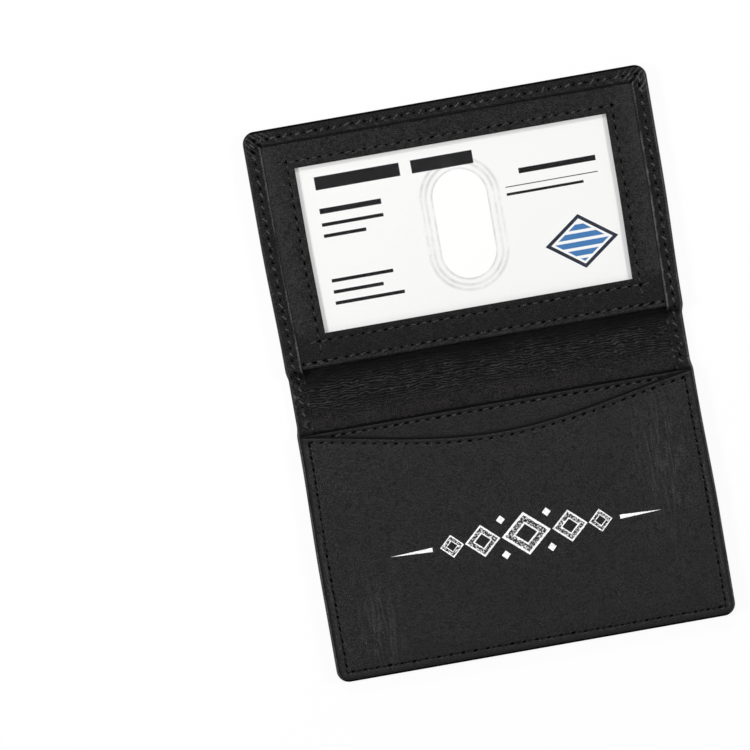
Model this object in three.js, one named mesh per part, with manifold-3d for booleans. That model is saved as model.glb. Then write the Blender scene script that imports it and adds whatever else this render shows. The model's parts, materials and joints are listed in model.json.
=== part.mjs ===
// Bifold business card holder in black leather, lying open and flat with its inside up.
// Millimetres. X runs along the fold, Y from the pocket half to the window half, and Z up.
// The origin lies under the middle of the fold, on the surface that the holder rests on.
//
// Each half is drawn in a frame of its own, where Y is the distance from the middle of the fold.
// The window half keeps that frame, and the pocket half is turned round by half a turn about Z.

import * as THREE from "three";
import { mergeVertices } from "three/addons/utils/BufferGeometryUtils.js";
import Module from "manifold-3d";

const wasm = await Module();
wasm.setup();

// Overall sizes of the open holder.
const COVER_WIDTH = 104.8;
const OPEN_LENGTH = 144;
const CORNER_RADIUS = 3.2;

// Thickness of each layer, and the clearances between them.
const COVER_LEATHER = 0.9;
const HEM_LEATHER = 0.7;
const PANEL_LEATHER = 0.7;
const LINING = 0.4;
const STIFFENER = 0.4;
const CLEAR_SHEET = 0.25;
const LAYER_GAP = 0.05;
const SIDE_CLEARANCE = 0.15;

// Rolled edges of the cover and of the panels.
const COVER_ROUND = 0.8;
const PANEL_ROUND = 0.25;

// The spine rolls up over a chain of strips, and is drawn in a little at the waist.
const SPINE_STRIPS = 5;
const SPINE_FLEX = 10.5;
const SPINE_WAIST = 0.4;
const SPINE_HEM = 4.4;
const STRIP_GAP = 0.1;

// Window half: its panel starts at the sill's edge, measured from the middle of the fold.
const WINDOW_EDGE = 9.7;
const WINDOW_SILL = 8.5;
const WINDOW_TOP_BAR = 11;
const WINDOW_SIDE_BAR = 12;
const WINDOW_HEM = 4.4;
const CLEAR_SHEET_INSET = 1.2;
const THUMB_SLOT_WIDTH = 14;
const THUMB_SLOT_LENGTH = 28;

// The card behind the window, and the slot that it slides in.
const CARD_WIDTH = 88.9;
const CARD_HEIGHT = 50.8;
const CARD_THICKNESS = 0.35;
const CARD_CORNER = 0.4;
const CARD_PLAY = 0.4;
const CARD_SLOT = 0.65;
const CARD_LAP = 5.3;

// Pocket half: a straight rear panel, and a front panel with a scooped mouth.
const POCKET_EDGE = 7;
const POCKET_INSET = 0.9;
const POCKET_HEM = 6;
const POCKET_SEAM = 4;
const POCKET_DEPTH = 0.5;
const SCOOP_DEPTH = 7.2;
const SCOOP_SETBACK = 0.3;
const SCOOP_END_REACH = 15.4;
const SCOOP_END_DROP = 2.1;
const SCOOP_MIDDLE_REACH = 19;

// How the pieces of one half are joined and laid.
const LINING_RAMP = 2;
const JOIN_OVERLAP = 0.3;
const LEAST_RADIUS = 0.2;
const CUT_PAST = 1;

// Facets on the rolled edges and on the corners.
const ROUND_STEPS = 3;
const CURVE_STEPS = 6;
const SCOOP_STEPS = 14;

// Lengths in the plane of the holder.
const halfLength = OPEN_LENGTH / 2;
const spineWidth = COVER_WIDTH - 2 * SPINE_WAIST;
const liningWidth = spineWidth - 2 * (COVER_LEATHER + SIDE_CLEARANCE);
const innerWidth = COVER_WIDTH - 2 * (COVER_LEATHER + SIDE_CLEARANCE);
const innerFar = halfLength - COVER_LEATHER - SIDE_CLEARANCE;
const hollowRadius = Math.max(CORNER_RADIUS - COVER_LEATHER, LEAST_RADIUS);
const innerRadius = Math.max(hollowRadius - SIDE_CLEARANCE, LEAST_RADIUS);

// The bend lines: where the first one lies, how far apart they are, and the turn at each when closed.
const hingeReach = SPINE_FLEX / 2;
const stripPitch = SPINE_FLEX / SPINE_STRIPS;
const bendTurn = Math.PI / (SPINE_STRIPS + 1);
const bendHeight = COVER_LEATHER + LAYER_GAP / 2;

// Heights of the layers that both halves and the spine share.
const inside = COVER_LEATHER + LAYER_GAP;
const spineHemLow = inside + LINING + LAYER_GAP;
const spineTop = spineHemLow + HEM_LEATHER;
const liningHigh = inside + STIFFENER + LAYER_GAP;
const slotFloor = liningHigh + LINING;

// Heights in the window half.
const clearSheetLow = slotFloor + CARD_SLOT;
const windowPanelLow = clearSheetLow + CLEAR_SHEET + LAYER_GAP;
const windowPanelTop = windowPanelLow + PANEL_LEATHER;
const windowTop = windowPanelTop + LAYER_GAP + HEM_LEATHER;

// Heights in the pocket half.
const pocketTrayTop = slotFloor + LAYER_GAP + HEM_LEATHER;
const rearPanelLow = pocketTrayTop + LAYER_GAP;
const frontSeamLow = rearPanelLow + PANEL_LEATHER + LAYER_GAP;
const frontPanelLow = frontSeamLow + POCKET_DEPTH;
const frontPanelTop = frontPanelLow + PANEL_LEATHER;

// Places in the window half.
const windowNear = WINDOW_EDGE + WINDOW_SILL;
const windowFar = halfLength - WINDOW_TOP_BAR;
const windowWidth = COVER_WIDTH - 2 * WINDOW_SIDE_BAR;
const cardFar = windowFar + CARD_LAP;
const cardStop = cardFar + CARD_PLAY;
const slotWidth = CARD_WIDTH + 2 * CARD_PLAY;

// Axes for laying a drawn profile on its side: along X, with the profile in Y and Z, or along Y.
const AXIS_X = new THREE.Vector3(1, 0, 0);
const AXIS_Y = new THREE.Vector3(0, 1, 0);
const AXIS_Z = new THREE.Vector3(0, 0, 1);
const LAID_ALONG_X = new THREE.Matrix4().makeBasis(AXIS_Y, AXIS_Z, AXIS_X);
const LAID_ALONG_Y = new THREE.Matrix4().makeBasis(AXIS_X, AXIS_Z, AXIS_Y.clone().negate());

// A closed geometry as a solid that can be joined and cut.
function toSolid(geometry) {
  geometry.deleteAttribute("normal");
  geometry.deleteAttribute("uv");
  const merged = mergeVertices(geometry);
  const vertProperties = new Float32Array(merged.attributes.position.array);
  const triVerts = new Uint32Array(merged.index.array);
  return new wasm.Manifold(new wasm.Mesh({ numProp: 3, vertProperties, triVerts }));
}

// A joined or cut solid as a geometry with flat faces.
function toGeometry(solid) {
  const mesh = solid.getMesh();
  const geometry = new THREE.BufferGeometry();
  geometry.setAttribute("position", new THREE.BufferAttribute(mesh.vertProperties, mesh.numProp));
  geometry.setIndex(new THREE.BufferAttribute(mesh.triVerts, 1));
  const faceted = geometry.toNonIndexed();
  faceted.computeVertexNormals();
  return faceted;
}

// A flat layer with the given outline between two heights, with its edges rolled where a radius is given.
function layer(outline, low, high, round = 0) {
  const geometry = new THREE.ExtrudeGeometry(outline, {
    depth: high - low - 2 * round,
    bevelEnabled: round > 0,
    bevelThickness: round,
    bevelSize: round,
    bevelOffset: -round,
    bevelSegments: ROUND_STEPS,
    curveSegments: CURVE_STEPS,
  });
  geometry.translate(0, 0, low + round);
  return toSolid(geometry);
}

// A profile drawn in Y and Z, carried along X over the given width.
function profileAlongX(points, width) {
  const outline = new THREE.Shape(points.map(([y, z]) => new THREE.Vector2(y, z)));
  const geometry = new THREE.ExtrudeGeometry(outline, { depth: width, bevelEnabled: false });
  geometry.translate(0, 0, -width / 2);
  geometry.applyMatrix4(LAID_ALONG_X);
  return toSolid(geometry);
}

// Outline of one half: square at the near edge, with round corners at the far edge.
function halfOutline(near, far, width, radius) {
  const side = width / 2;
  const outline = new THREE.Shape();
  outline.moveTo(-side, near);
  outline.lineTo(side, near);
  outline.absarc(side - radius, far - radius, radius, 0, Math.PI / 2, false);
  outline.absarc(radius - side, far - radius, radius, Math.PI / 2, Math.PI, false);
  outline.closePath();
  return outline;
}

// A plain rectangle across the half, as a hole or as an outline.
function rectangle(near, far, width, Kind = THREE.Shape) {
  const side = width / 2;
  const outline = new Kind();
  outline.moveTo(-side, near);
  outline.lineTo(side, near);
  outline.lineTo(side, far);
  outline.lineTo(-side, far);
  outline.closePath();
  return outline;
}

// Outline of the front pocket panel: like a half, with a mouth scooped in two mirrored curves.
function scoopedOutline(near, far, width, radius) {
  const side = width / 2;
  const middle = near + SCOOP_DEPTH;
  const shoulder = near + SCOOP_END_DROP;
  const shoulderX = side - SCOOP_END_REACH;
  const right = new THREE.CubicBezierCurve(
    new THREE.Vector2(0, middle),
    new THREE.Vector2(SCOOP_MIDDLE_REACH, middle),
    new THREE.Vector2(shoulderX, shoulder),
    new THREE.Vector2(side, near),
  );
  const mouth = right.getPoints(SCOOP_STEPS);
  const mirrored = mouth.slice(1).map((point) => new THREE.Vector2(-point.x, point.y));
  const outline = new THREE.Shape([...mirrored.reverse(), ...mouth]);
  outline.absarc(side - radius, far - radius, radius, 0, Math.PI / 2, false);
  outline.absarc(radius - side, far - radius, radius, Math.PI / 2, Math.PI, false);
  outline.closePath();
  return outline;
}

// What a half keeps at the fold: square below its bend line, and leaning back above it by half the turn,
// so that it meets the next strip without running into it when the holder is closed.
function halfTrim(top) {
  const near = hingeReach + STRIP_GAP / 2;
  const far = halfLength + CUT_PAST;
  const high = top + CUT_PAST;
  const lean = (high - bendHeight) * Math.tan(bendTurn / 2);
  const points = [
    [near, -CUT_PAST],
    [far, -CUT_PAST],
    [far, high],
    [near + lean, high],
    [near, bendHeight],
  ];
  return profileAlongX(points, COVER_WIDTH + 2 * CUT_PAST);
}

// What one strip of the spine keeps: the same lean on both of its flanks.
function stripTrim() {
  const flank = (stripPitch - STRIP_GAP) / 2;
  const lean = (spineTop - bendHeight) * Math.tan(bendTurn / 2);
  const points = [
    [-flank, -CUT_PAST],
    [flank, -CUT_PAST],
    [flank, bendHeight],
    [flank - lean, spineTop],
    [lean - flank, spineTop],
    [-flank, bendHeight],
  ];
  return profileAlongX(points, COVER_WIDTH + 2 * CUT_PAST);
}

// Cover leather across the spine: a floor whose two ends are turned up and in over the lining.
function spineChannel(near, far) {
  const side = spineWidth / 2;
  const round = COVER_ROUND;
  const lip = side - SPINE_HEM;
  const wall = side - COVER_LEATHER;
  const hollowTop = spineTop - HEM_LEATHER;
  const section = new THREE.Shape();
  section.moveTo(round - side, 0);
  section.absarc(side - round, round, round, -Math.PI / 2, 0, false);
  section.absarc(side - round, spineTop - round, round, 0, Math.PI / 2, false);
  section.lineTo(lip, spineTop);
  section.lineTo(lip, hollowTop);
  section.lineTo(wall, hollowTop);
  section.lineTo(wall, COVER_LEATHER);
  section.lineTo(-wall, COVER_LEATHER);
  section.lineTo(-wall, hollowTop);
  section.lineTo(-lip, hollowTop);
  section.lineTo(-lip, spineTop);
  section.absarc(round - side, spineTop - round, round, Math.PI / 2, Math.PI, false);
  section.absarc(round - side, round, round, Math.PI, 1.5 * Math.PI, false);
  const geometry = new THREE.ExtrudeGeometry(section, {
    depth: far - near,
    bevelEnabled: false,
    curveSegments: ROUND_STEPS,
  });
  geometry.applyMatrix4(LAID_ALONG_Y);
  geometry.translate(0, far, 0);
  return toSolid(geometry);
}

// Cover leather of one half: a shallow tray with its edge turned in on three sides, joined to a low
// channel next to the spine, where the layers above the lining end.
function coverLeather(edge, top, hem) {
  const trayNear = edge - JOIN_OVERLAP;
  const past = trayNear - 2 * COVER_ROUND;
  const body = layer(halfOutline(past, halfLength, COVER_WIDTH, CORNER_RADIUS), 0, top, COVER_ROUND);
  const hollow = layer(
    halfOutline(past, halfLength - COVER_LEATHER, COVER_WIDTH - 2 * COVER_LEATHER, hollowRadius),
    COVER_LEATHER,
    top - HEM_LEATHER,
  );
  const mouth = layer(
    rectangle(past, halfLength - hem, COVER_WIDTH - 2 * hem),
    COVER_LEATHER,
    top + CUT_PAST,
  );
  const kept = layer(
    rectangle(trayNear, halfLength + CUT_PAST, COVER_WIDTH + 2 * CUT_PAST),
    -CUT_PAST,
    top + CUT_PAST,
  );
  const tray = body.subtract(hollow).subtract(mouth).intersect(kept);
  const channel = spineChannel(hingeReach, edge - LAYER_GAP);
  return tray.add(channel).intersect(halfTrim(top));
}

// Lining of one half: low next to the spine, then up a short ramp and over the stiffener board.
function halfLining(edge) {
  const ramp = edge + LINING_RAMP;
  const points = [
    [hingeReach, inside],
    [edge, inside],
    [ramp, liningHigh],
    [innerFar, liningHigh],
    [innerFar, liningHigh + LINING],
    [ramp, liningHigh + LINING],
    [edge, inside + LINING],
    [hingeReach, inside + LINING],
  ];
  const sheet = profileAlongX(points, liningWidth);
  const corners = layer(halfOutline(0, innerFar, liningWidth, innerRadius), 0, slotFloor + CUT_PAST);
  return sheet.intersect(corners).intersect(halfTrim(slotFloor));
}

// Stiffener board of one half, between the cover leather and the raised part of the lining.
function stiffenerBoard(edge) {
  const near = edge + LINING_RAMP + LAYER_GAP;
  return layer(halfOutline(near, innerFar, innerWidth, innerRadius), inside, inside + STIFFENER);
}

// Frame round the window. Its underside carries a border on three sides, which holds it up off the
// lining and leaves the slot that the card slides in, with its mouth towards the fold.
function windowPanel() {
  const outline = halfOutline(WINDOW_EDGE, innerFar, innerWidth, innerRadius);
  outline.holes.push(rectangle(windowNear, windowFar, windowWidth, THREE.Path));
  const frame = layer(outline, windowPanelLow, windowPanelTop, PANEL_ROUND);
  const borderOutline = halfOutline(
    WINDOW_EDGE + PANEL_ROUND,
    innerFar - PANEL_ROUND,
    innerWidth - 2 * PANEL_ROUND,
    innerRadius,
  );
  const border = layer(borderOutline, slotFloor + LAYER_GAP, windowPanelLow + PANEL_LEATHER / 2);
  const slot = layer(rectangle(0, cardStop, slotWidth), 0, windowTop);
  return border.subtract(slot).add(frame);
}

// Clear sheet behind the window, with the slot through which a thumb pushes the card.
function clearWindow() {
  const near = WINDOW_EDGE + CLEAR_SHEET_INSET;
  const far = cardStop - SIDE_CLEARANCE;
  const outline = rectangle(near, far, slotWidth - 2 * SIDE_CLEARANCE);
  const middle = (windowNear + windowFar) / 2;
  const radius = THUMB_SLOT_WIDTH / 2;
  const straight = THUMB_SLOT_LENGTH / 2 - radius;
  const thumbSlot = new THREE.Path();
  thumbSlot.absarc(0, middle + straight, radius, 0, Math.PI, false);
  thumbSlot.absarc(0, middle - straight, radius, Math.PI, 2 * Math.PI, false);
  thumbSlot.closePath();
  outline.holes.push(thumbSlot);
  return layer(outline, clearSheetLow, clearSheetLow + CLEAR_SHEET);
}

// The card that shows behind the window.
function displayCard() {
  const low = slotFloor + LAYER_GAP;
  const near = cardFar - CARD_HEIGHT;
  const side = CARD_WIDTH / 2 - CARD_CORNER;
  const outline = new THREE.Shape();
  outline.absarc(-side, near + CARD_CORNER, CARD_CORNER, Math.PI, 1.5 * Math.PI, false);
  outline.absarc(side, near + CARD_CORNER, CARD_CORNER, 1.5 * Math.PI, 2 * Math.PI, false);
  outline.absarc(side, cardFar - CARD_CORNER, CARD_CORNER, 0, Math.PI / 2, false);
  outline.absarc(-side, cardFar - CARD_CORNER, CARD_CORNER, Math.PI / 2, Math.PI, false);
  outline.closePath();
  return layer(outline, low, low + CARD_THICKNESS);
}

// Panels of the pocket half share their outline, a little inside that of the cover.
const pocketFar = halfLength - POCKET_INSET;
const pocketWidth = COVER_WIDTH - 2 * POCKET_INSET;
const pocketRadius = Math.max(CORNER_RADIUS - POCKET_INSET, LEAST_RADIUS);

// Rear pocket panel, sewn down on the turned-in edge of the cover. Its mouth is straight.
function rearPocketPanel() {
  const outline = halfOutline(POCKET_EDGE, pocketFar, pocketWidth, pocketRadius);
  return layer(outline, rearPanelLow, rearPanelLow + PANEL_LEATHER, PANEL_ROUND);
}

// Front pocket panel. Its border is turned under on three sides, which leaves room for cards behind it.
function frontPocketPanel() {
  const near = POCKET_EDGE + SCOOP_SETBACK;
  const outline = scoopedOutline(near, pocketFar, pocketWidth, pocketRadius);
  const panel = layer(outline, frontPanelLow, frontPanelTop, PANEL_ROUND);
  const seamNear = near + SCOOP_DEPTH;
  const seam = layer(
    halfOutline(seamNear, pocketFar - PANEL_ROUND, pocketWidth - 2 * PANEL_ROUND, pocketRadius),
    frontSeamLow,
    frontPanelLow + PANEL_LEATHER / 2,
  );
  const pocket = layer(
    rectangle(seamNear - CUT_PAST, pocketFar - POCKET_SEAM, pocketWidth - 2 * POCKET_SEAM),
    frontSeamLow - CUT_PAST,
    frontPanelTop,
  );
  return seam.subtract(pocket).add(panel);
}

// One strip of the spine's leather, and one of its lining, each drawn about its own middle.
function spineLeather() {
  return spineChannel(-stripPitch / 2, stripPitch / 2).intersect(stripTrim());
}

function spineLining() {
  const geometry = new THREE.BoxGeometry(liningWidth, stripPitch, LINING);
  geometry.translate(0, 0, inside + LINING / 2);
  return toSolid(geometry).intersect(stripTrim());
}

// Finishes.
const COVER_FINISH = { color: 0x1c1b1c, roughness: 0.5, metalness: 0 };
const INNER_FINISH = { color: 0x201f20, roughness: 0.45, metalness: 0 };
const LINING_FINISH = { color: 0x1a191a, roughness: 0.6, metalness: 0 };
const BOARD_FINISH = { color: 0x8a7a62, roughness: 0.9, metalness: 0 };
const CARD_FINISH = { color: 0xf4f4f1, roughness: 0.6, metalness: 0 };
const CLEAR_FINISH = { color: 0xf2f5f6, roughness: 0.12, metalness: 0, transparent: true, opacity: 0.25 };

function piece(name, solid, finish) {
  const mesh = new THREE.Mesh(toGeometry(solid), new THREE.MeshStandardMaterial(finish));
  mesh.name = name;
  return mesh;
}

const windowHalf = new THREE.Group();
windowHalf.add(
  piece("front_cover_leather", coverLeather(WINDOW_EDGE, windowTop, WINDOW_HEM), COVER_FINISH),
  piece("front_stiffener_board", stiffenerBoard(WINDOW_EDGE), BOARD_FINISH),
  piece("front_lining", halfLining(WINDOW_EDGE), LINING_FINISH),
  piece("window_panel", windowPanel(), INNER_FINISH),
  piece("clear_window", clearWindow(), CLEAR_FINISH),
  piece("display_card", displayCard(), CARD_FINISH),
);

const pocketHalf = new THREE.Group();
pocketHalf.rotation.z = Math.PI;
pocketHalf.add(
  piece("back_cover_leather", coverLeather(POCKET_EDGE, pocketTrayTop, POCKET_HEM), COVER_FINISH),
  piece("back_stiffener_board", stiffenerBoard(POCKET_EDGE), BOARD_FINISH),
  piece("back_lining", halfLining(POCKET_EDGE), LINING_FINISH),
  piece("rear_pocket_panel", rearPocketPanel(), INNER_FINISH),
  piece("front_pocket_panel", frontPocketPanel(), INNER_FINISH),
);

const holder = new THREE.Group();
holder.add(windowHalf, pocketHalf);
for (let number = 1; number <= SPINE_STRIPS; number += 1) {
  const strip = new THREE.Group();
  strip.position.y = (number - 0.5) * stripPitch - hingeReach;
  strip.add(
    piece(`spine_leather_${number}`, spineLeather(), COVER_FINISH),
    piece(`spine_lining_${number}`, spineLining(), LINING_FINISH),
  );
  holder.add(strip);
}

export default holder;
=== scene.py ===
# %% [markdown]
# # A bifold business card holder in black leather
#
# The holder lies open and flat with its inside up. One half has a window with a card behind a clear
# sheet, the other half has two stepped pockets, and between them a soft spine folds the holder shut.
#
# The CAD model already says where every layer lies and how it moves. Here each layer gets the form of
# real leather: rolled edges, pleated corners, creases, sunk seams and beads of thread. Every new piece
# is a surface worked out with numpy, in millimetres, in the same frame as the CAD model.

# %% Load the frame
import json
import math
from types import SimpleNamespace

import bmesh
import bpy
import numpy as np
from mathutils import Euler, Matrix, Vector


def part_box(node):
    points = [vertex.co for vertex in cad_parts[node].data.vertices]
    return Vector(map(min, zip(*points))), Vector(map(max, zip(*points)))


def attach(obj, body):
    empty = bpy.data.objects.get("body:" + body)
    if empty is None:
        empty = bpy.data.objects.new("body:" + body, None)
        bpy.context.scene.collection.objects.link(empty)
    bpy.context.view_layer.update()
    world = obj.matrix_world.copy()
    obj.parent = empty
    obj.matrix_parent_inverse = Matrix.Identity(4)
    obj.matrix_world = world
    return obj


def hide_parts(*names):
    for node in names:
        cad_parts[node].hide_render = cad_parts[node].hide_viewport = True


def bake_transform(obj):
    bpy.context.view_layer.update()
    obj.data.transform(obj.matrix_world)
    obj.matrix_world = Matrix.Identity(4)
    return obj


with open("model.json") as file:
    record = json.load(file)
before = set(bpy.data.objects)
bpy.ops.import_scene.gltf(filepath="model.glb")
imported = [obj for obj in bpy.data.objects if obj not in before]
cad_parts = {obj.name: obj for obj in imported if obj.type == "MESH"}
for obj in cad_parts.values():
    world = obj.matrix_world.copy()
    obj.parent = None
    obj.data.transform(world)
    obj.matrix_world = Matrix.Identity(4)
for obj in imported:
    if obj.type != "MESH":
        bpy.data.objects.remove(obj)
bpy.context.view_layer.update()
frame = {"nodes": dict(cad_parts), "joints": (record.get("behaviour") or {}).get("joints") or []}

# %% [markdown]
# ## Sizes
#
# The sizes of the layers come from the boxes of the CAD nodes, so nothing has to be fitted afterwards.
# Both halves are drawn in the same way: x runs along the fold, and y is the distance from the middle of
# the fold. The pocket half is then turned round by half a turn, which changes the sign of x and y.

# %% Sizes from the frame
MM = 0.001
WINDOW_HALF = 1
POCKET_HALF = -1


def box_mm(node):
    """The lowest and the highest corner of a CAD node, in millimetres."""
    low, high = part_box(node)
    return np.array(low) / MM, np.array(high) / MM


SIDE, FAR, WINDOW_TOP = box_mm("front_cover_leather")[1]
TRAY_TOP = box_mm("back_cover_leather")[1][2]
SPINE_SIDE, _, SPINE_TOP = box_mm("spine_leather_3")[1]
LINING_LOW = box_mm("spine_lining_3")[1][2]
WINDOW_EDGE = box_mm("window_panel")[0][1]
POCKET_EDGE = -box_mm("rear_pocket_panel")[1][1]
spine_fold = next(joint for joint in frame["joints"] if joint["name"] == "spine_fold")
FOLD_REACH = 2 * abs(spine_fold["pos_m"][1]) / MM

CORNER = 3.2
LEATHER = 0.7
EDGE_PITCH = 3.2
EDGE_SEAM = 2.4
print(f"cover {2 * SIDE:.1f} by {2 * FAR:.1f} mm, spine bends over {2 * FOLD_REACH:.1f} mm")

# %% [markdown]
# ## From arrays to meshes
#
# A surface on a grid needs two things: an array of points, and the list of its four-sided faces. Where
# two grids share a border their points coincide, so merging doubles sews them into one skin. Closed
# skins then have their faces turned outwards. An open sheet keeps the order that its grid gave it.
#
# A piece can carry two more things for its finish. Wear and painted light is a value at each point: above 0
# where use has rubbed the leather grey and where a highlight is painted, and below 0 where it stays dark
# and where shade is painted. A number at each face chooses its material.

# %% Mesh helpers
MERGE = 2e-6
SHARP = math.radians(50)
WAIST_SHARE = 0.0105
WAIST_REACH = (44.0, 12.0)


def smoothstep(low, high, value):
    """0 at low, 1 at high, and 3 t^2 - 2 t^3 in between."""
    t = np.clip((value - low) / (high - low), 0, 1)
    return t * t * (3 - 2 * t)


def grid_faces(rows, columns, wrap=False, flip=False):
    """Faces of a grid of rows by columns points; wrap joins the last column to the first."""
    index = np.arange(rows * columns).reshape(rows, columns)
    if wrap:
        index = np.concatenate([index, index[:, :1]], axis=1)
    faces = np.stack([index[:-1, :-1], index[1:, :-1], index[1:, 1:], index[:-1, 1:]], axis=-1)
    faces = faces.reshape(-1, 4)
    return faces[:, ::-1] if flip else faces


def xyz(x, y, z):
    """Three arrays, stretched to one shape, as one array of points."""
    return np.stack(np.broadcast_arrays(x, y, z), axis=-1)


def drawn_in(points):
    """Soft leather is drawn in towards the spine: x shrinks by a small share that fades out along y."""
    share = WAIST_SHARE * smoothstep(*WAIST_REACH, np.abs(points[:, 1:2]))
    return points * np.concatenate([1 - share, np.ones((len(points), 2))], axis=1)


def new_piece(name, grids, half=WINDOW_HALF, closed=True, wear_and_painted_light=None, finishes=None):
    """A smooth object at the origin from (points, faces) grids in millimetres, sewn together.

    Wear and painted light hold an array of values for each grid, and finishes the number of each face's
    material.
    """
    flat = [drawn_in(points.reshape(-1, 3)) * np.array([half, half, 1]) * MM for points, _ in grids]
    starts = np.cumsum([0] + [len(points) for points in flat])
    faces = [quads + start for (_, quads), start in zip(grids, starts)]
    mesh = bpy.data.meshes.new(name)
    mesh.from_pydata(np.concatenate(flat), [], np.concatenate(faces), shade_flat=False)
    if finishes is not None:
        mesh.polygons.foreach_set("material_index", finishes.astype(np.int32))
    if wear_and_painted_light:
        worn = np.concatenate([np.ravel(values) for values in wear_and_painted_light])
        mesh.attributes.new("wear_and_painted_light", "FLOAT", "POINT").data.foreach_set("value", worn)
    skin = bmesh.new()
    skin.from_mesh(mesh)
    bmesh.ops.remove_doubles(skin, verts=skin.verts, dist=MERGE)
    if closed:
        bmesh.ops.recalc_face_normals(skin, faces=skin.faces)
    skin.to_mesh(mesh)
    mesh.set_sharp_from_angle(angle=SHARP)
    rims = np.array([edge.is_boundary for edge in skin.edges])
    skin.free()
    if rims.any():
        sharp = mesh.attributes.get("sharp_edge") or mesh.attributes.new("sharp_edge", "BOOLEAN", "EDGE")
        sharp.data.foreach_set("value", rims)
    made = bpy.data.objects.new(name, mesh)
    bpy.context.scene.collection.objects.link(made)
    print(f"{name}: {len(mesh.polygons)} faces")
    return made


def thicken(made, thickness):
    """Gives an open sheet its thickness on the side away from its faces."""
    wall = made.modifiers.new("thickness", "SOLIDIFY")
    wall.thickness = thickness * MM
    wall.offset = -1
    return made


# %% [markdown]
# ## The unevenness of leather
#
# Leather is never quite flat. That could be sculpted by hand, but noise comes out the same each time: a
# lattice of seeded random values, joined by smooth steps, gives a gentle unevenness. Folding it about its
# middle value gives narrow ridges, which read as creases, and stretched cells make the creases run one
# way. A seam pulls the leather down into a groove that is deepest at the holes, where the thread goes in.

# %% Height helpers
NOISE_CELLS = 97
GROOVE_REACH = 0.75
GROOVE_EVEN = 0.55
GROOVE_PULL = 0.45


def bell(value, middle, width):
    """1 at the middle, falling off to both sides as exp(-((value - middle) / width)^2)."""
    return np.exp(-(((value - middle) / width) ** 2))


def lattice_noise(x, y, cell, seed):
    """Noise from 0 to 1: random values at the corners of cells, joined by smoothsteps both ways."""
    table = np.random.default_rng(seed).random((NOISE_CELLS, NOISE_CELLS))
    across = np.asarray(x) / cell[0]
    along = np.asarray(y) / cell[1]
    i = np.floor(across).astype(int)
    j = np.floor(along).astype(int)
    s = smoothstep(0, 1, across - i)
    t = smoothstep(0, 1, along - j)

    def corner(right, up):
        """The random value at one corner of each point's cell."""
        return table[(i + right) % NOISE_CELLS, (j + up) % NOISE_CELLS]

    near = corner(0, 0) * (1 - s) + corner(1, 0) * s
    far = corner(0, 1) * (1 - s) + corner(1, 1) * s
    return near * (1 - t) + far * t


def creases(x, y, cell, seed, sharpness):
    """Ridges from 0 to 1, where the noise passes its middle: (1 - |2 noise - 1|) to a power."""
    return (1 - np.abs(2 * lattice_noise(x, y, cell, seed) - 1)) ** sharpness


def groove(across, phase):
    """Depth from 0 to 1 of a seam's groove: (1 - (across / reach)^2)^2, deepest where phase is 0."""
    hollow = np.clip(1 - (across / GROOVE_REACH) ** 2, 0, 1) ** 2
    return hollow * (GROOVE_EVEN + GROOVE_PULL * np.cos(phase))


def stations(start, stop, step):
    """Evenly spaced values from start to stop, no further apart than step."""
    return np.linspace(start, stop, int(np.ceil(abs(stop - start) / step)) + 1)


def joined_stations(start, *stretches):
    """Stations along stretches that follow each other, each given by its end and the step towards it."""
    lines = [np.array([start])]
    for stop, step in stretches:
        lines.append(stations(lines[-1][-1], stop, step)[1:])
    return np.concatenate(lines)


print(f"groove of a seam: {2 * GROOVE_REACH} mm wide")


# %% [markdown]
# ## The edge of the cover
#
# The cover is one sheet of leather whose edge is turned up and in, over the panel. A bevelled slab would
# lack the hem, so its rim is a profile carried along the outline: across the outer face, round the bottom
# roll, up the wall, round the top roll and in over the hem. Lines closer to the edge than the corner's
# radius run round the corner on arcs. Lines further in meet in a mitre. Stations lie closer together
# where there is more to shape: at the fold, at the corners and beside the ornament of the outer face.

# %% Outline of one half
FOLD_ROWS_END = 13.0
FOLD_STEP = 0.4
SIDE_STEP = 0.6
ORNAMENT_STEP = 0.5
ORNAMENT_ROWS = (28.0, 48.0)
ORNAMENT_REACH = 31.0
CORNER_STEP = 0.38
CORNER_REACH = 6.0
CORNER_STATIONS = 22
SHOULDER = (-2.5, 0.5)
HEM_RISE = (-2.3, -0.1)

side_end = FAR - CORNER
far_end = SIDE - CORNER
side_rows = joined_stations(
    0.0,
    (FOLD_ROWS_END, FOLD_STEP),
    (ORNAMENT_ROWS[0], SIDE_STEP),
    (ORNAMENT_ROWS[1], ORNAMENT_STEP),
    (side_end - CORNER_REACH, SIDE_STEP),
    (side_end, CORNER_STEP),
)
right_columns = joined_stations(
    0.0, (ORNAMENT_REACH, ORNAMENT_STEP), (far_end - CORNER_REACH, SIDE_STEP), (far_end, CORNER_STEP)
)
far_columns = np.concatenate([right_columns[:0:-1], -right_columns])
corner_turns = np.linspace(0, np.pi / 2, CORNER_STATIONS + 2)[1:-1]


def half_width(y, edge):
    """Half of the cover's width: drawn in at the spine, and full from the panel's edge on."""
    return SPINE_SIDE + (SIDE - SPINE_SIDE) * smoothstep(edge + SHOULDER[0], edge + SHOULDER[1], y)


def hem_height(y, edge, top):
    """Top of the turned edge: low over the spine, and up on the panel from the panel's edge on."""
    return SPINE_TOP + (top - SPINE_TOP) * smoothstep(edge + HEM_RISE[0], edge + HEM_RISE[1], y)


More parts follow.
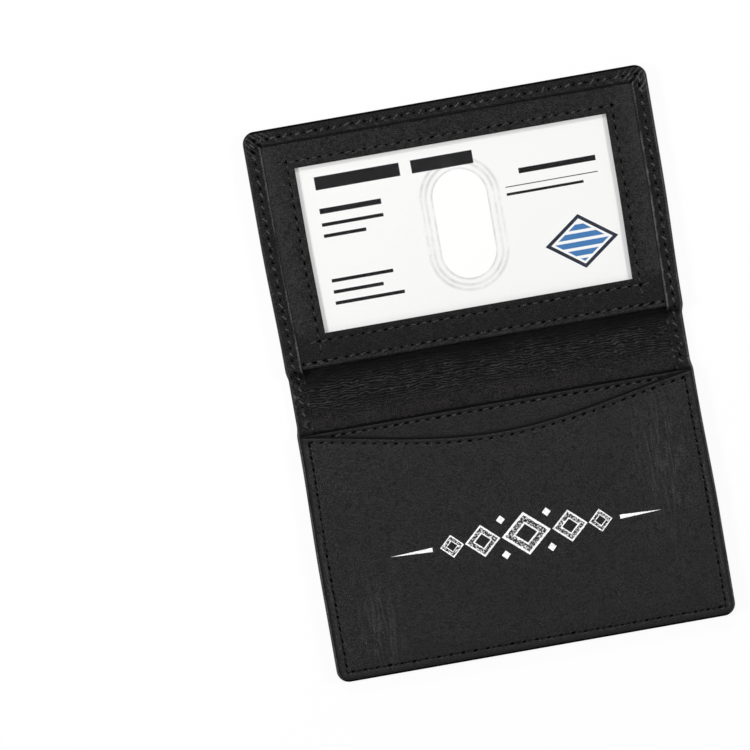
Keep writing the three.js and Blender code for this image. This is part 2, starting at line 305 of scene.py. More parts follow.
def edge_path(edge):
    """The outline up the right side, over the far edge and down the left side, as three arrays.

    They are the points, the way out of the leather there, and the way in which lines that lie further
    in than the corner's radius are set back: straight in on the sides, and to the mitre at a corner.
    """
    mirror = np.array([-1, 1])
    right = np.stack([half_width(side_rows, edge), side_rows], axis=1)
    arc = np.stack([np.cos(corner_turns), np.sin(corner_turns)], axis=1)
    corner = np.array([far_end, side_end]) + CORNER * arc
    far = np.stack([far_columns, np.full(len(far_columns), FAR)], axis=1)
    sideways = np.tile([1.0, 0.0], (len(right), 1))
    onwards = np.tile([0.0, 1.0], (len(far), 1))
    diagonal = np.ones((len(arc), 2))
    outline = [right, corner, far, corner[::-1] * mirror, right[::-1] * mirror]
    out = [sideways, arc, onwards, arc[::-1] * mirror, sideways * mirror]
    mitre = [sideways, diagonal, onwards, diagonal * mirror, sideways * mirror]
    return np.concatenate(outline), np.concatenate(out), np.concatenate(mitre)


def inset(path, distance):
    """Points at a distance in from the outline, for an array of stations by lines."""
    outline, out, mitre = path
    on_arc = np.minimum(distance, CORNER)[..., None] * out[:, None]
    past_arc = np.maximum(distance - CORNER, 0)[..., None] * mitre[:, None]
    point = outline[:, None] - on_arc - past_arc
    past = distance > CORNER
    limit_x = np.where(past, SIDE - distance, SIDE)
    limit_y = np.where(past, FAR - distance, FAR)
    return np.clip(point[..., 0], -limit_x, limit_x), np.minimum(point[..., 1], limit_y)


def path_length(x, y):
    """Length along a line of points, from its first point to each of them."""
    return np.concatenate([[0], np.cumsum(np.hypot(np.diff(x), np.diff(y)))])


def edge_seam(path, distance=EDGE_SEAM):
    """The seam that runs round the edge: its points, its length at each, and its number of stitches."""
    x, y = (line[:, 0] for line in inset(path, np.full((len(path[0]), 1), distance)))
    length = path_length(x, y)
    return x, y, length, int(round(length[-1] / EDGE_PITCH))


print(f"outline of a half: {len(edge_path(WINDOW_EDGE)[0])} stations")

# %% [markdown]
# ## Cover leather
#
# Each half of the cover is one sheet, from the middle of the spine to the far edge. A cloth simulation
# could fold it, but a glued and sewn edge holds its form, and a profile gives that form directly. The rim
# is carried along the outline, and a plain grid fills the outer face inside it. Solidify then gives the
# sheet its thickness, so the hem has a cut edge as real leather has.

# %% Profile of the cover's edge
FACE_LINES = np.array([CORNER, 2.85, 2.6, EDGE_SEAM, 2.2, 1.95, 1.6, 1.15])
HEM = 4.4
HEM_ROLL = (0.9, 0.7)
HEM_LINES = np.array([1.85, 2.1, 2.25, EDGE_SEAM, 2.55, 2.75, 3.05, HEM - HEM_ROLL[0]])
WALL_SHARES = np.array([0.33, 0.67])
STRIP_SHARES = np.array([0.25, 0.5, 0.75])
LOW_ROLL = 0.8
LOW_ROLL_STATIONS = 5
TOP_ROLL_SHARE = 0.38
TOP_ROLL_STATIONS = 8
low_turn = np.linspace(0, np.pi / 2, LOW_ROLL_STATIONS)
top_turn = np.linspace(0, np.pi / 2, TOP_ROLL_STATIONS)
hem_turn = top_turn[1:-1]


def cover_profile(hem):
    """Distance in from the edge and height of each line, for the height of the hem at each station."""
    hem = hem[:, None]
    roll = TOP_ROLL_SHARE * hem
    wall_top = hem - roll
    lines = [
        (FACE_LINES, 0),
        (LOW_ROLL * (1 - np.sin(low_turn)), LOW_ROLL * (1 - np.cos(low_turn))),
        (0 * WALL_SHARES, LOW_ROLL + (wall_top - LOW_ROLL) * WALL_SHARES),
        (roll * (1 - np.cos(top_turn)), wall_top + roll * np.sin(top_turn)),
        (roll + (HEM_LINES[0] - roll) * STRIP_SHARES, hem),
        (HEM_LINES, hem),
        (HEM - HEM_ROLL[0] * (1 - np.sin(hem_turn)), hem - HEM_ROLL[1] * (1 - np.cos(hem_turn))),
    ]
    both = [np.broadcast_arrays(distance, height + 0 * hem + 0 * distance) for distance, height in lines]
    wide = [np.broadcast_to(distance, (len(hem), distance.shape[-1])) for distance, _ in both]
    high = [np.broadcast_to(height, (len(hem), height.shape[-1])) for _, height in both]
    return np.concatenate(wide, axis=1), np.concatenate(high, axis=1)


print("lines of the cover's profile:", cover_profile(np.array([WINDOW_TOP]))[0].shape[1])


# %% [markdown]
# The outside of the window half carries a blind-pressed ornament: a row of lozenges between two rules.
# A heated stamp sinks the figures into the leather and burnishes them darker, and the leather beside
# them is rubbed. All three come from one measure: how far a point lies inside the figures.

# %% Pressed ornament
LOZENGE = (5.0, 7.5)
LOZENGE_STEP = 12.0
LOZENGE_COUNT = 5
LOZENGE_BAND = 1.8
RULE_OFFSET = 9.3
RULE_HALF = (30.0, 0.5)
PRESS_MIDDLE = 38.0
PRESS_DEPTH = 0.22
PRESS_SLOPE = 0.6


def ornament_inward(x, y):
    """How far a point lies inside the ornament's figures, in mm, and below 0 outside them.

    A lozenge holds where |x| / a + |y| / b < 1, and only a band along its outline is pressed.
    """
    reach = LOZENGE_STEP * (LOZENGE_COUNT - 1) / 2
    nearest = np.clip(np.round(x / LOZENGE_STEP) * LOZENGE_STEP, -reach, reach)
    down = y - PRESS_MIDDLE
    share = np.abs(x - nearest) / LOZENGE[0] + np.abs(down) / LOZENGE[1]
    inward = (1 - share) * LOZENGE[0] * LOZENGE[1] / np.hypot(*LOZENGE)
    rule_inward = np.minimum(RULE_HALF[0] - np.abs(x), RULE_HALF[1] - np.abs(np.abs(down) - RULE_OFFSET))
    return np.maximum(np.minimum(inward, LOZENGE_BAND - inward), rule_inward)


print(f"ornament: {LOZENGE_COUNT} lozenges, pressed {PRESS_DEPTH} mm deep")


# %% [markdown]
# The hem is where the maker's hand shows most. Every stitch pulls a small hollow into it, and the leather
# between the stitches puffs up in slanting ridges. Over the spine, where the holder is opened and shut,
# the hem is puckered. At the far corners of the window half the spare leather lies in small pleats, side
# by side. All this is a relief that is taken off the hem's plain height.

# %% Relief of the hem
PUCKER = 0.26
PUCKER_SLANT = 1.1
PUCKER_VARY = (0.4, 0.6)
PLEAT_PITCH = 1.15
PLEAT_DEPTH = 0.4
PLEAT_WANDER = 0.5
PLEAT_REACH = (5.0, 3.0)
PLEAT_START = (-1.5, 0.5)
PLEAT_SHARPNESS = 1.5
SPINE_PUCKER = 0.5
SPINE_END = (0.5, -2.0)
KNOTS = (0.55, 0.9)
LONG_FOLD_SHARE = 0.6
HEM_GROOVE = 0.24
HEM_START = (0.1, 1.2)
HEM_END = (HEM, HEM - 0.5)
NOISE_SHIFT = 60


def patches(x, y, size, seed):
    """Noise in square cells of a size in mm, read at places that are moved to positive x and y."""
    return lattice_noise(x + NOISE_SHIFT, y + NOISE_SHIFT, (size, size), seed)


def corner_pleats(x, y, half):
    """Pleats from 0 on a crest to 1 in a valley, and how far they hold, from 0 to 1.

    They run side by side out to the corner, as waves in the distance from its diagonal, and fade out
    along the sides.
    """
    out_x = np.abs(x) - (SIDE - HEM)
    out_y = y - (FAR - HEM)
    aside = (out_x - out_y) / np.sqrt(2) + PLEAT_WANDER * patches(x, y, size=2.0, seed=12)
    holds = smoothstep(*PLEAT_REACH, np.abs(aside)) * smoothstep(*PLEAT_START, out_x + out_y)
    return 0.5 + 0.5 * np.cos(2 * np.pi * aside / PLEAT_PITCH), holds * (half == WINDOW_HALF)


def at_spine(y, edge):
    """1 over the spine, and 0 from the panel's edge on."""
    return smoothstep(edge + SPINE_END[0], edge + SPINE_END[1], y)


def spine_folds(x, y, half):
    """Small raised folds and knots from 0 to 1 on the hem, in one pattern over both halves."""
    long_folds = creases(half * x, half * y, cell=(3.5, 1.0), seed=11, sharpness=2)
    knots = smoothstep(*KNOTS, lattice_noise(half * x, half * y, cell=(0.8, 0.7), seed=15))
    return np.maximum(LONG_FOLD_SHARE * long_folds, knots)


def hem_relief(rim):
    """How far the hem's face lies under its plain height: grooves, ridges, pleats and spine puckers."""
    from_seam = rim.distance - EDGE_SEAM
    on_hem = smoothstep(*HEM_START, rim.distance) * smoothstep(*HEM_END, rim.distance)
    slanted = rim.phase + 2 * np.pi * PUCKER_SLANT * from_seam / EDGE_PITCH
    strength = PUCKER_VARY[0] + PUCKER_VARY[1] * patches(rim.x, rim.y, size=3.0, seed=13)
    ridges = PUCKER * (0.5 + 0.5 * np.cos(slanted)) * strength * on_hem
    waves, holds = corner_pleats(rim.x, rim.y, rim.half)
    pleats = PLEAT_DEPTH * waves**PLEAT_SHARPNESS * holds * on_hem
    flat_share = 1 - spine_folds(rim.x, rim.y, rim.half)
    puckers = SPINE_PUCKER * flat_share * at_spine(rim.y, rim.edge) * on_hem
    return HEM_GROOVE * groove(from_seam, rim.phase) + ridges + pleats + puckers


print(f"hem: grooves {HEM_GROOVE} mm deep, pleats {PLEAT_DEPTH} mm, puckers {SPINE_PUCKER} mm")


# %% [markdown]
# The rim is worked out once, with everything that its relief, its rubbing, its painted light and its
# finishes go by: how far in from the edge each line lies, which lines are outside and which on top, and the
# phase of the stitches.

# %% Rim of the cover
FACE_GROOVE = 0.15
FACING_FAR = 0.9
SKIVED_FROM = 2.9
SKIVED_LIFT = 0.1
SKIVED_REACH = (-1.5, -3.5)


def cover_rim(half, edge, top):
    """The rim's lines along the outline, with all that its height, its rubbing and its painted light are
    worked out from.

    Next to the lining of the spine the hem is skived: thinned to lie level with the lining.
    """
    path = edge_path(edge)
    rim = SimpleNamespace(half=half, edge=edge)
    rim.distance, plain = cover_profile(hem_height(path[0][:, 1], edge, top))
    rim.x, rim.y = inset(path, rim.distance)
    _, _, length, count = edge_seam(path)
    rim.phase = (2 * np.pi * count * length / length[-1])[:, None]
    rim.on_sides = np.abs(path[1][:, :1])
    rim.faces_far = path[1][:, 1:] > FACING_FAR
    line = np.arange(rim.distance.shape[1])
    rim.outside = line < len(FACE_LINES) + LOW_ROLL_STATIONS
    rim.on_top = line >= len(FACE_LINES) + LOW_ROLL_STATIONS + len(WALL_SHARES)
    near_spine = smoothstep(edge + SKIVED_REACH[0], edge + SKIVED_REACH[1], rim.y)
    rim.skived = smoothstep(SKIVED_FROM, HEM, rim.distance) * near_spine * rim.on_top
    height = plain * (1 - rim.skived) + (LINING_LOW + SKIVED_LIFT) * rim.skived
    on_face = line < len(FACE_LINES)
    rim.height = height + FACE_GROOVE * groove(rim.distance - EDGE_SEAM, rim.phase) * on_face
    rim.relief = hem_relief(rim) * rim.on_top
    return rim


print(f"skived hem: {LINING_LOW + SKIVED_LIFT:.2f} mm up, next to the lining")


# %% [markdown]
# Use rubs black leather grey where it stands up, on crests and folds. Light and shade are painted too:
# highlights on the inner and outer edges of the side hems, on the pleats and as a sheen outside along the
# fold, and shade on the inner edge of the far hem, in the gaps and on the wall of the far edge. Thread
# stays dark. Each of these is a line at its own distance from the edge, a middle and a width, and a patchy
# noise breaks it up.

# %% Rubbing and painted light of the rim
INNER_LINE = (HEM - 0.25, 0.26)
FAR_INNER_SHADE = 0.6
BESIDE_LINE = (HEM - 1.0, 0.35)
BESIDE_LIGHT = 0.08
BESIDE_SIDE_SHADE = 0.38
OUTER_LINE = {WINDOW_HALF: (0.6, 0.25), POCKET_HALF: (0.4, 0.25)}
OUTER_HIGHLIGHT = 0.9
OUTER_LEFT_SHARE = 0.4
OUTSIDE_LINE = (0.35, 0.3)
OUTSIDE_RUB = 0.15
FOLD_SHEEN = 0.45
FOLD_SHEEN_START = (2.0, 6.5)
FOLD_SHEEN_END = (15.0, 7.0)
CREST_RUB_AND_HIGHLIGHT = 0.4
CREST_RELIEF = (0.12, 0.0)
CREST_START = (1.2, 1.8)
FOLD_LINE_RUB_AND_HIGHLIGHT = 0.9
PLEAT_HIGHLIGHT = (1.6, 0.6)
HEM_DARK = 0.2
HEM_DARK_START = (0.3, 0.9)
WALL_SHADE = (0.7, 0.1)
WALL_FOOT = 0.3
GAP_SHADE_START = (0.65, 0.85)


def fold_sheen(y):
    """Painted sheen on the outside along the fold: a lighter band where the rounded fold would catch the
    light.
    """
    return FOLD_SHEEN * smoothstep(*FOLD_SHEEN_START, y) * smoothstep(*FOLD_SHEEN_END, y)


def edge_light_and_shade(rim, strength):
    """Painted highlights along the inner edge of the side hems and along their outer edge, which is weaker
    on the window half's left side; painted shade along the far hem's inner edge; and beside the inner edge
    a line of painted shade on the sides and a faint light line on the far side.
    """
    under_panel = rim.half == POCKET_HALF
    off_spine = 1 - at_spine(rim.y, rim.edge)
    inner = bell(rim.distance, *INNER_LINE) * rim.on_top * off_spine
    inner = inner * (rim.on_sides * strength - FAR_INNER_SHADE * (1 - rim.on_sides))
    beside = bell(rim.distance, *BESIDE_LINE) * rim.on_top * (1 - rim.skived)
    beside = beside * (BESIDE_LIGHT - BESIDE_SIDE_SHADE * rim.on_sides)
    outer = bell(rim.distance, *OUTER_LINE[rim.half]) * rim.on_top * rim.on_sides
    bright_side = np.logical_or(rim.half * rim.x > 0, under_panel)
    outer = outer * (OUTER_LEFT_SHARE + (1 - OUTER_LEFT_SHARE) * bright_side)
    return inner + beside + OUTER_HIGHLIGHT * strength * outer


def hem_rub_and_highlights(rim, patchy):
    """Rubbed crests between the stitches and folds over the spine, whose grey is partly a painted
    highlight, and painted highlights on the corner pleats, stronger on the right, on a hem a little dark.
    """
    waves, holds = corner_pleats(rim.x, rim.y, rim.half)
    pleats = (PLEAT_HIGHLIGHT[0] + PLEAT_HIGHLIGHT[1] * np.sign(rim.half * rim.x)) * (1 - waves) ** 3 * holds
    folds = FOLD_LINE_RUB_AND_HIGHLIGHT * spine_folds(rim.x, rim.y, rim.half) ** 2 * at_spine(rim.y, rim.edge)
    crests = smoothstep(*CREST_RELIEF, rim.relief) * smoothstep(*CREST_START, rim.distance) * (1 - holds)
    on_hem = rim.on_top * smoothstep(*HEM_DARK_START, rim.distance)
    return on_hem * (patchy * (CREST_RUB_AND_HIGHLIGHT * crests + folds + pleats) - HEM_DARK)


def rim_wear_and_painted_light(rim):
    """Rubbing and painted light of the whole rim: the hem's on the inside, with painted shade on the far
    wall and in the gap by the pocket panel, and on the outside a weaker line of rubbing and the painted
    sheen along the fold.
    """
    patchy = patches(rim.x, rim.y, size=4.0, seed=14)
    # Painted shade: dark on the wall of the far edge, and in the gap beside the pocket panel.
    far_wall_shade = smoothstep(*WALL_SHADE, rim.distance) * (rim.height > WALL_FOOT) * (1 - rim.on_sides)
    past_edge = smoothstep(rim.edge - 1, rim.edge, rim.y) * (rim.half == POCKET_HALF)
    panel_gap_shade = smoothstep(*GAP_SHADE_START, rim.distance) * rim.on_top * past_edge
    inside = edge_light_and_shade(rim, patchy**0.5) + hem_rub_and_highlights(rim, patchy) - far_wall_shade - panel_gap_shade
    outside = OUTSIDE_RUB * bell(rim.distance, *OUTSIDE_LINE) * patchy + fold_sheen(rim.y)
    return np.where(rim.outside, outside, inside)


print(f"wear outside along the fold: up to {fold_sheen(side_rows).max():.2f}")


# %% [markdown]
# The outer face is a grid that ends on the rim's first line. The faces of the sheet then get one of three
# finishes: the hem's leather inside, the smoother outside, and near-black painted shade along the far edge.

# %% Cover halves
FACE_UNEVEN = 0.05
FLAT_BORDER = 6.0
FLAT_AT_FOLD = 9.0
BURNISH = (-0.1, 0.4)
BURNISH_DARK = 0.9
RAISED_LINE = (-0.35, 0.35)
RAISED_RUB = 0.14
NO_ORNAMENT = -9.0
SHADED_EDGE_REACH = 0.8
INSIDE, OUTSIDE, SHADED_EDGE = range(3)


def outer_face(half, edge, ornament):
    """Points and values of the face inside the rim: gently uneven, with the ornament's figures sunk in.

    The values are the painted sheen along the fold, and the ornament's burnish and its rubbing beside the
    figures.
    """
    x = np.outer((half_width(side_rows, edge) - CORNER) / far_end, far_columns[::-1])
    y = side_rows[:, None] + 0 * x
    inward = np.minimum(far_end - np.abs(x), side_end - y)
    uneven = FACE_UNEVEN * lattice_noise(half * x, half * y, cell=(17, 13), seed=3)
    uneven = uneven * smoothstep(0, FLAT_BORDER, inward) * smoothstep(0, FLAT_AT_FOLD, y)
    figures = ornament_inward(x, y) if ornament else np.full_like(x, NO_ORNAMENT)
    z = uneven + PRESS_DEPTH * smoothstep(0, PRESS_SLOPE, figures)
    pressed = RAISED_RUB * bell(figures, *RAISED_LINE) - BURNISH_DARK * smoothstep(*BURNISH, figures)
    return xyz(x, y, z), fold_sheen(y) + pressed


def cover_half(name, half, edge, top, ornament):
    """One half of the cover, from the middle of the spine to its far edge, as an open sheet."""
    rim = cover_rim(half, edge, top)
    rim_points = xyz(rim.x, rim.y, rim.height - rim.relief)
    face_points, face_wear_and_painted_light = outer_face(half, edge, ornament)
    grids = [(points, grid_faces(*points.shape[:2])) for points in (rim_points, face_points)]
    # Painted shade along the far edge: its outermost faces on top get a near-black, almost glossless
    # leather.
    shaded_edge = rim.faces_far * rim.on_top * (rim.distance < SHADED_EDGE_REACH)
    rim_finishes = np.where(shaded_edge, SHADED_EDGE, np.where(rim.outside, OUTSIDE, INSIDE))[1:, 1:]
    finishes = np.concatenate([rim_finishes.ravel(), np.full(len(grids[1][1]), OUTSIDE)])
    wear_and_painted_light = [rim_wear_and_painted_light(rim), face_wear_and_painted_light]
    return thicken(new_piece(name, grids, half, closed=False, wear_and_painted_light=wear_and_painted_light, finishes=finishes), LEATHER)


window_cover = cover_half("cover_window_side", WINDOW_HALF, WINDOW_EDGE, WINDOW_TOP, ornament=True)
pocket_cover = cover_half("cover_pocket_side", POCKET_HALF, POCKET_EDGE, TRAY_TOP, ornament=False)

# %% [markdown]
# ## Lining
#
# A thin lining leather runs from half to half. It shows between the window panel and the pockets, where
# use has raised fine wrinkles in it, all along the fold. They are small and set, so noise gives them more
# simply than a cloth simulation would. Each half is a grid: low next to the spine, and then up a short
# ramp on to the stiffener board. Its values say where the material draws its fine creases: from 0 to -1
# they come in, and from -1 to -2 they go again. These negative values are painted shade: the lining grows
# darker towards the window panel, darkest under the panel's edge, and dark under the rear pocket's lip,
# while the crease lines stay light as painted highlights. Near the sides the crests of the folds get a
# grey that is partly rubbing and partly painted highlight.

# %% Lining halves
LINING_HIGH = box_mm("front_lining")[1][2]
LINING_SIDE = SPINE_SIDE - 1.4
LINING_FAR = FAR - 2
LINING_RAMP = 2.0
LINING_THICKNESS = 0.35
LINING_STEPS = (0.45, 0.11, 3.0)
FOLD_DEPTH = 0.24
FOLD_WANDER = 0.5
SHORT_FOLD_SHARE = 0.8
FOLDS_END = (1.5, -0.5)
STRAIN_RUB_AND_HIGHLIGHT = 0.2
STRAIN_START = (14.0, 2.0)
WINDOW_SHADE = (7.0, 1.0)
LIP_SHADE = (0.6, 0.2)
gap_width = WINDOW_EDGE + POCKET_EDGE
FOLDS_FADE = (gap_width - 1.0, gap_width - 6.0)
CREASES_FADE = (gap_width - 2.0, WINDOW_SHADE[0])
CREASES_VARY = (0.7, 0.4)


def shadow_under_lip(before):
    """Painted shadow: 1 in the dark corner under a panel's lip, and 0 from a little way before it, in mm.
    """
    return smoothstep(*LIP_SHADE, before)


def lining_folds(x, y, half):
    """Ridges from 0 to 1 along the fold: long ones and short ones, on lines that noise bends."""
    bend = y + FOLD_WANDER * lattice_noise(half * x, half * y, cell=(7.0, 5.0), seed=8)
    long_folds = creases(half * x, half * bend, cell=(5.0, 1.0), seed=5, sharpness=5)
    short_folds = creases(half * x, half * bend, cell=(2.6, 0.75), seed=6, sharpness=5)
    return np.maximum(long_folds, SHORT_FOLD_SHARE * short_folds)


def lining_half(name, half, edge):
    """One half of the lining: a sheet whose height is a ramp, with small folds raised along the spine."""
    across, near, far = LINING_STEPS
    rows = joined_stations(0.0, (edge + LINING_RAMP, near), (LINING_FAR, far))
    x, y = np.meshgrid(stations(-LINING_SIDE, LINING_SIDE, across), rows)
    from_window = WINDOW_EDGE - half * y
    folds = lining_folds(x, y, half)
    ramp = smoothstep(edge, edge + LINING_RAMP, y)
    shown = smoothstep(edge + FOLDS_END[0], edge + FOLDS_END[1], y)
    creased = smoothstep(*FOLDS_FADE, from_window)
    z = LINING_LOW + (LINING_HIGH - LINING_LOW) * ramp - FOLD_DEPTH * (1 - folds) * shown * creased
    patchy = CREASES_VARY[0] + CREASES_VARY[1] * lattice_noise(half * x, half * y, cell=(12, 5), seed=7)
    # Painted shade: the creased zone grows darker towards the window panel, and its crease lines stay
    # light.
    crinkled_and_shaded = np.clip(smoothstep(*CREASES_FADE, from_window) * patchy, 0, 1)
    strained = smoothstep(*STRAIN_START, LINING_SIDE - np.abs(x)) * folds * creased
    # Painted shadow under the window panel's edge, and under the rear pocket's lip.
    window_shadow = smoothstep(*WINDOW_SHADE, from_window)
    pocket_lip_shadow = 2 * shadow_under_lip(POCKET_EDGE - y) * (half == POCKET_HALF)
    wear_and_painted_light = STRAIN_RUB_AND_HIGHLIGHT * strained - crinkled_and_shaded - window_shadow - pocket_lip_shadow
    grids = [(xyz(x, y, z), grid_faces(*x.shape, flip=True))]
    return thicken(new_piece(name, grids, half, closed=False, wear_and_painted_light=[wear_and_painted_light]), LINING_THICKNESS)


window_lining = lining_half("lining_window_side", WINDOW_HALF, WINDOW_EDGE)
pocket_lining = lining_half("lining_pocket_side", POCKET_HALF, POCKET_EDGE)

# %% [markdown]
# ## Window panel
#
# The panel is a frame of leather. A Boolean could cut its window, but would leave no rows for rolls and
# grooves. Nested rectangles, from the window's edge to the panel's own edge, give them. All are cut into
# the same shares, so they join into a closed ring whose corners are mitred. The window's edge is a full
# roll. The seams round the window run on past each other at the corners, as a straight line of machine
# sewing does, and the sill's seam is sewn back at both of its ends.

# %% Seams on the window panel
WINDOW_SIDE_BAR = 12.0
WINDOW_TOP_BAR = 11.0
WINDOW_SILL = 8.5
WINDOW_PITCH = 2.9
WINDOW_SEAM = 1.8
SEAM_PAST = 3.1
SILL_SEAM = 1.6
SILL_SEAM_END = 4.9
BACK_TACK = 6.5
BACK_TACK_ASIDE = 0.3
GROOVE_END = (0.4, 0.1)

window_x = SIDE - WINDOW_SIDE_BAR
window_near = WINDOW_EDGE + WINDOW_SILL
window_far = FAR - WINDOW_TOP_BAR
seam_x = window_x + WINDOW_SEAM
seam_near = window_near - WINDOW_SEAM
seam_far = window_far + WINDOW_SEAM
sill_end = SIDE - SILL_SEAM_END
sill_y = WINDOW_EDGE + SILL_SEAM
tack_y = sill_y - BACK_TACK_ASIDE
WINDOW_SEAMS = [
    ((-seam_x - SEAM_PAST, seam_far), (seam_x + SEAM_PAST, seam_far)),
    ((-seam_x - SEAM_PAST, seam_near), (seam_x + SEAM_PAST, seam_near)),
    ((-seam_x, seam_near - SEAM_PAST), (-seam_x, seam_far + SEAM_PAST)),
    ((seam_x, seam_near - SEAM_PAST), (seam_x, seam_far + SEAM_PAST)),
    ((-sill_end, sill_y), (sill_end, sill_y)),
    ((-sill_end, tack_y), (BACK_TACK - sill_end, tack_y)),
    ((sill_end - BACK_TACK, tack_y), (sill_end, tack_y)),
]


def straight_groove(x, y, seam):
    """Depth of the groove of one straight seam, which fades out just past its ends."""
    start, end = np.array(seam)
    length = np.hypot(*(end - start))
    way = (end - start) / length
    along = (x - start[0]) * way[0] + (y - start[1]) * way[1]
    across = (x - start[0]) * way[1] - (y - start[1]) * way[0]
    phase = 2 * np.pi * along * round(length / WINDOW_PITCH) / length
    past, before = GROOVE_END
    ends = smoothstep(-past, before, along) * smoothstep(length + past, length - before, along)
    return groove(across, phase) * ends


print(f"window {2 * window_x:.1f} by {window_far - window_near:.1f} mm, {len(WINDOW_SEAMS)} seams round it")

# %% Window panel
PANEL_TOP = box_mm("window_panel")[1][2]
PANEL_LOW = 2.75
PANEL_GROOVE = 0.22
PANEL_UNEVEN = 0.12
FLAT_SILL_EDGE = (0.3, 3.0)
PANEL_SIDE = SIDE - 1.8
PANEL_FAR = FAR - 1.8
BORDER_LOW = box_mm("window_panel")[0][2]
BORDER_WIDTH = PANEL_SIDE - 44.9
BORDER_FOOT = (0.15, 0.1)
PANEL_STATIONS = (200, 120, 200, 120)
FROM_WINDOW = np.array([0.6, 0.95, 1.25, 1.45, 1.62, 1.8, 1.98, 2.15, 2.35, 2.7, 3.3, 4.0])
FROM_EDGE = np.array([4.0, 3.1, 2.5, 2.15, 1.95, 1.78, 1.6, 1.42, 1.25, 1.05, 0.75, 0.5])
EDGE_ROLL = LEATHER / 2
edge_turn = np.linspace(0, np.pi / 2, 6)
roll_in = EDGE_ROLL * (1 - np.cos(edge_turn))
roll_up = EDGE_ROLL * np.sin(edge_turn)


def rectangle_lines(low, high, stations_per_side):
    """Nested rectangles, given by arrays of their corners, as an array of stations by lines."""
    corners = np.array([[low[0], low[1]], [high[0], low[1]], [high[0], high[1]], [low[0], high[1]]])
    sides = []
    for number, count in enumerate(stations_per_side):
        share = np.linspace(0, 1, count, endpoint=False)[:, None, None]
        start = corners[number].T
        end = corners[(number + 1) % len(corners)].T
        sides.append(start * (1 - share) + end * share)
    ring = np.concatenate(sides)
    return ring[..., 0], ring[..., 1]


def panel_lines():
    """The ring's lines: over the top from the window to the edge, down round the border, and back."""
    foot = [0, BORDER_FOOT[0], BORDER_WIDTH, BORDER_WIDTH]
    inner = np.concatenate([roll_in, FROM_WINDOW])
    outer = np.concatenate([FROM_EDGE, roll_in[::-1], foot])
    back = roll_in[::-1]
    from_window = np.concatenate([inner, 0 * outer, back])
    from_edge = np.concatenate([0 * inner, outer, 0 * back])
    by_edge = np.repeat([False, True, False], [len(inner), len(outer), len(back)])
    edge_low = np.array([[-PANEL_SIDE], [WINDOW_EDGE]])
    edge_high = np.array([[PANEL_SIDE], [PANEL_FAR]])
    window_low = np.array([[-window_x], [window_near]])
    window_high = np.array([[window_x], [window_far]])
    low = np.where(by_edge, edge_low + from_edge, window_low - from_window)
    high = np.where(by_edge, edge_high - from_edge, window_high + from_window)
    return rectangle_lines(low, high, PANEL_STATIONS)


def panel_heights(x, y):
    """Heights of the ring's lines: the top sunk at the seams, and under it the border, open at the sill."""
    middle = PANEL_TOP - EDGE_ROLL
    flat_lines = len(FROM_WINDOW) + len(FROM_EDGE)
    top = np.concatenate([middle + roll_up, np.full(flat_lines, PANEL_TOP)])
    x = x[:, : len(top)]
    y = y[:, : len(top)]
    sunk = PANEL_GROOVE * np.array([straight_groove(x, y, seam) for seam in WINDOW_SEAMS]).max(axis=0)
    uneven = PANEL_UNEVEN * (lattice_noise(x, y, cell=(9, 7), seed=21) - 0.5)
    uneven = uneven * smoothstep(*FLAT_SILL_EDGE, np.abs(y - WINDOW_EDGE))
    border = np.full((len(x), 1), BORDER_LOW)
    border[: PANEL_STATIONS[0] + 1] = PANEL_LOW
    down = np.broadcast_to(middle + roll_up[::-1], (len(x), len(roll_up)))
    up = np.broadcast_to(middle - roll_up[::-1], (len(x), len(roll_up)))
    under = [down, border + BORDER_FOOT[1], border, border, np.full_like(border, PANEL_LOW), up]
    return np.concatenate([top - sunk + uneven, *under], axis=1)


print("ring of the window panel, stations by lines:", panel_lines()[0].shape)


# %% [markdown]
# The frame has a painted sheen beside the hem on its side bars, and is dark along the seams at the
# window's sides. The sill has painted shade, with a painted highlight along its near edge.

# %% Painted light of the window panel
HEM_SIDE = (window_x + 1.5, PANEL_SIDE - 3)
HEM_SIDE_SHEEN = 0.1
SILL_EDGE_LINE = (0.75, 0.4)
SILL_EDGE_HIGHLIGHT = 0.4
SILL_SHADE = 0.33
SILL_END = (window_near + 2, window_near - 2)
SIDE_SEAM_LINE = (seam_x, 0.3)
SIDE_SEAM_DARK = 0.5


def panel_painted_light_and_seams(x, y):
    """Painted light of the frame, and its dark side seams, from the distances to its edges and seams."""
    side_sheen = HEM_SIDE_SHEEN * smoothstep(*HEM_SIDE, np.abs(x))
    sill = smoothstep(*SILL_END, y)
    sill_light_and_shade = SILL_EDGE_HIGHLIGHT * bell(y - WINDOW_EDGE, *SILL_EDGE_LINE) - SILL_SHADE
    at_sides = bell(np.abs(x), *SIDE_SEAM_LINE) * (y > seam_near) * (y < seam_far)
    return side_sheen * (1 - sill) + sill_light_and_shade * sill - SIDE_SEAM_DARK * at_sides


def window_panel():
    """The frame as one closed ring, whose last line is joined to its first."""
    x, y = panel_lines()
    points = xyz(x, y, panel_heights(x, y)).transpose(1, 0, 2)
    points = np.concatenate([points, points[:1]])
    wear_and_painted_light = panel_painted_light_and_seams(x, y).T
    wear_and_painted_light = np.concatenate([wear_and_painted_light, wear_and_painted_light[:1]])
    grids = [(points, grid_faces(*points.shape[:2], wrap=True))]
    return new_piece("window_panel_leather", grids, wear_and_painted_light=[wear_and_painted_light])


window_frame = window_panel()

# %% [markdown]
# ## Clear sheet
#
# The window is a clear flexible sheet. A thumb slot is punched through its middle, and two raised
# outlines are pressed round the slot. The lines of this grid are the slot's own outline, set off further
# and further, so the pressed outlines follow grid lines. Rays from the slot's axis carry the last line
# out to the sheet's edge, which lies hidden under the panel.

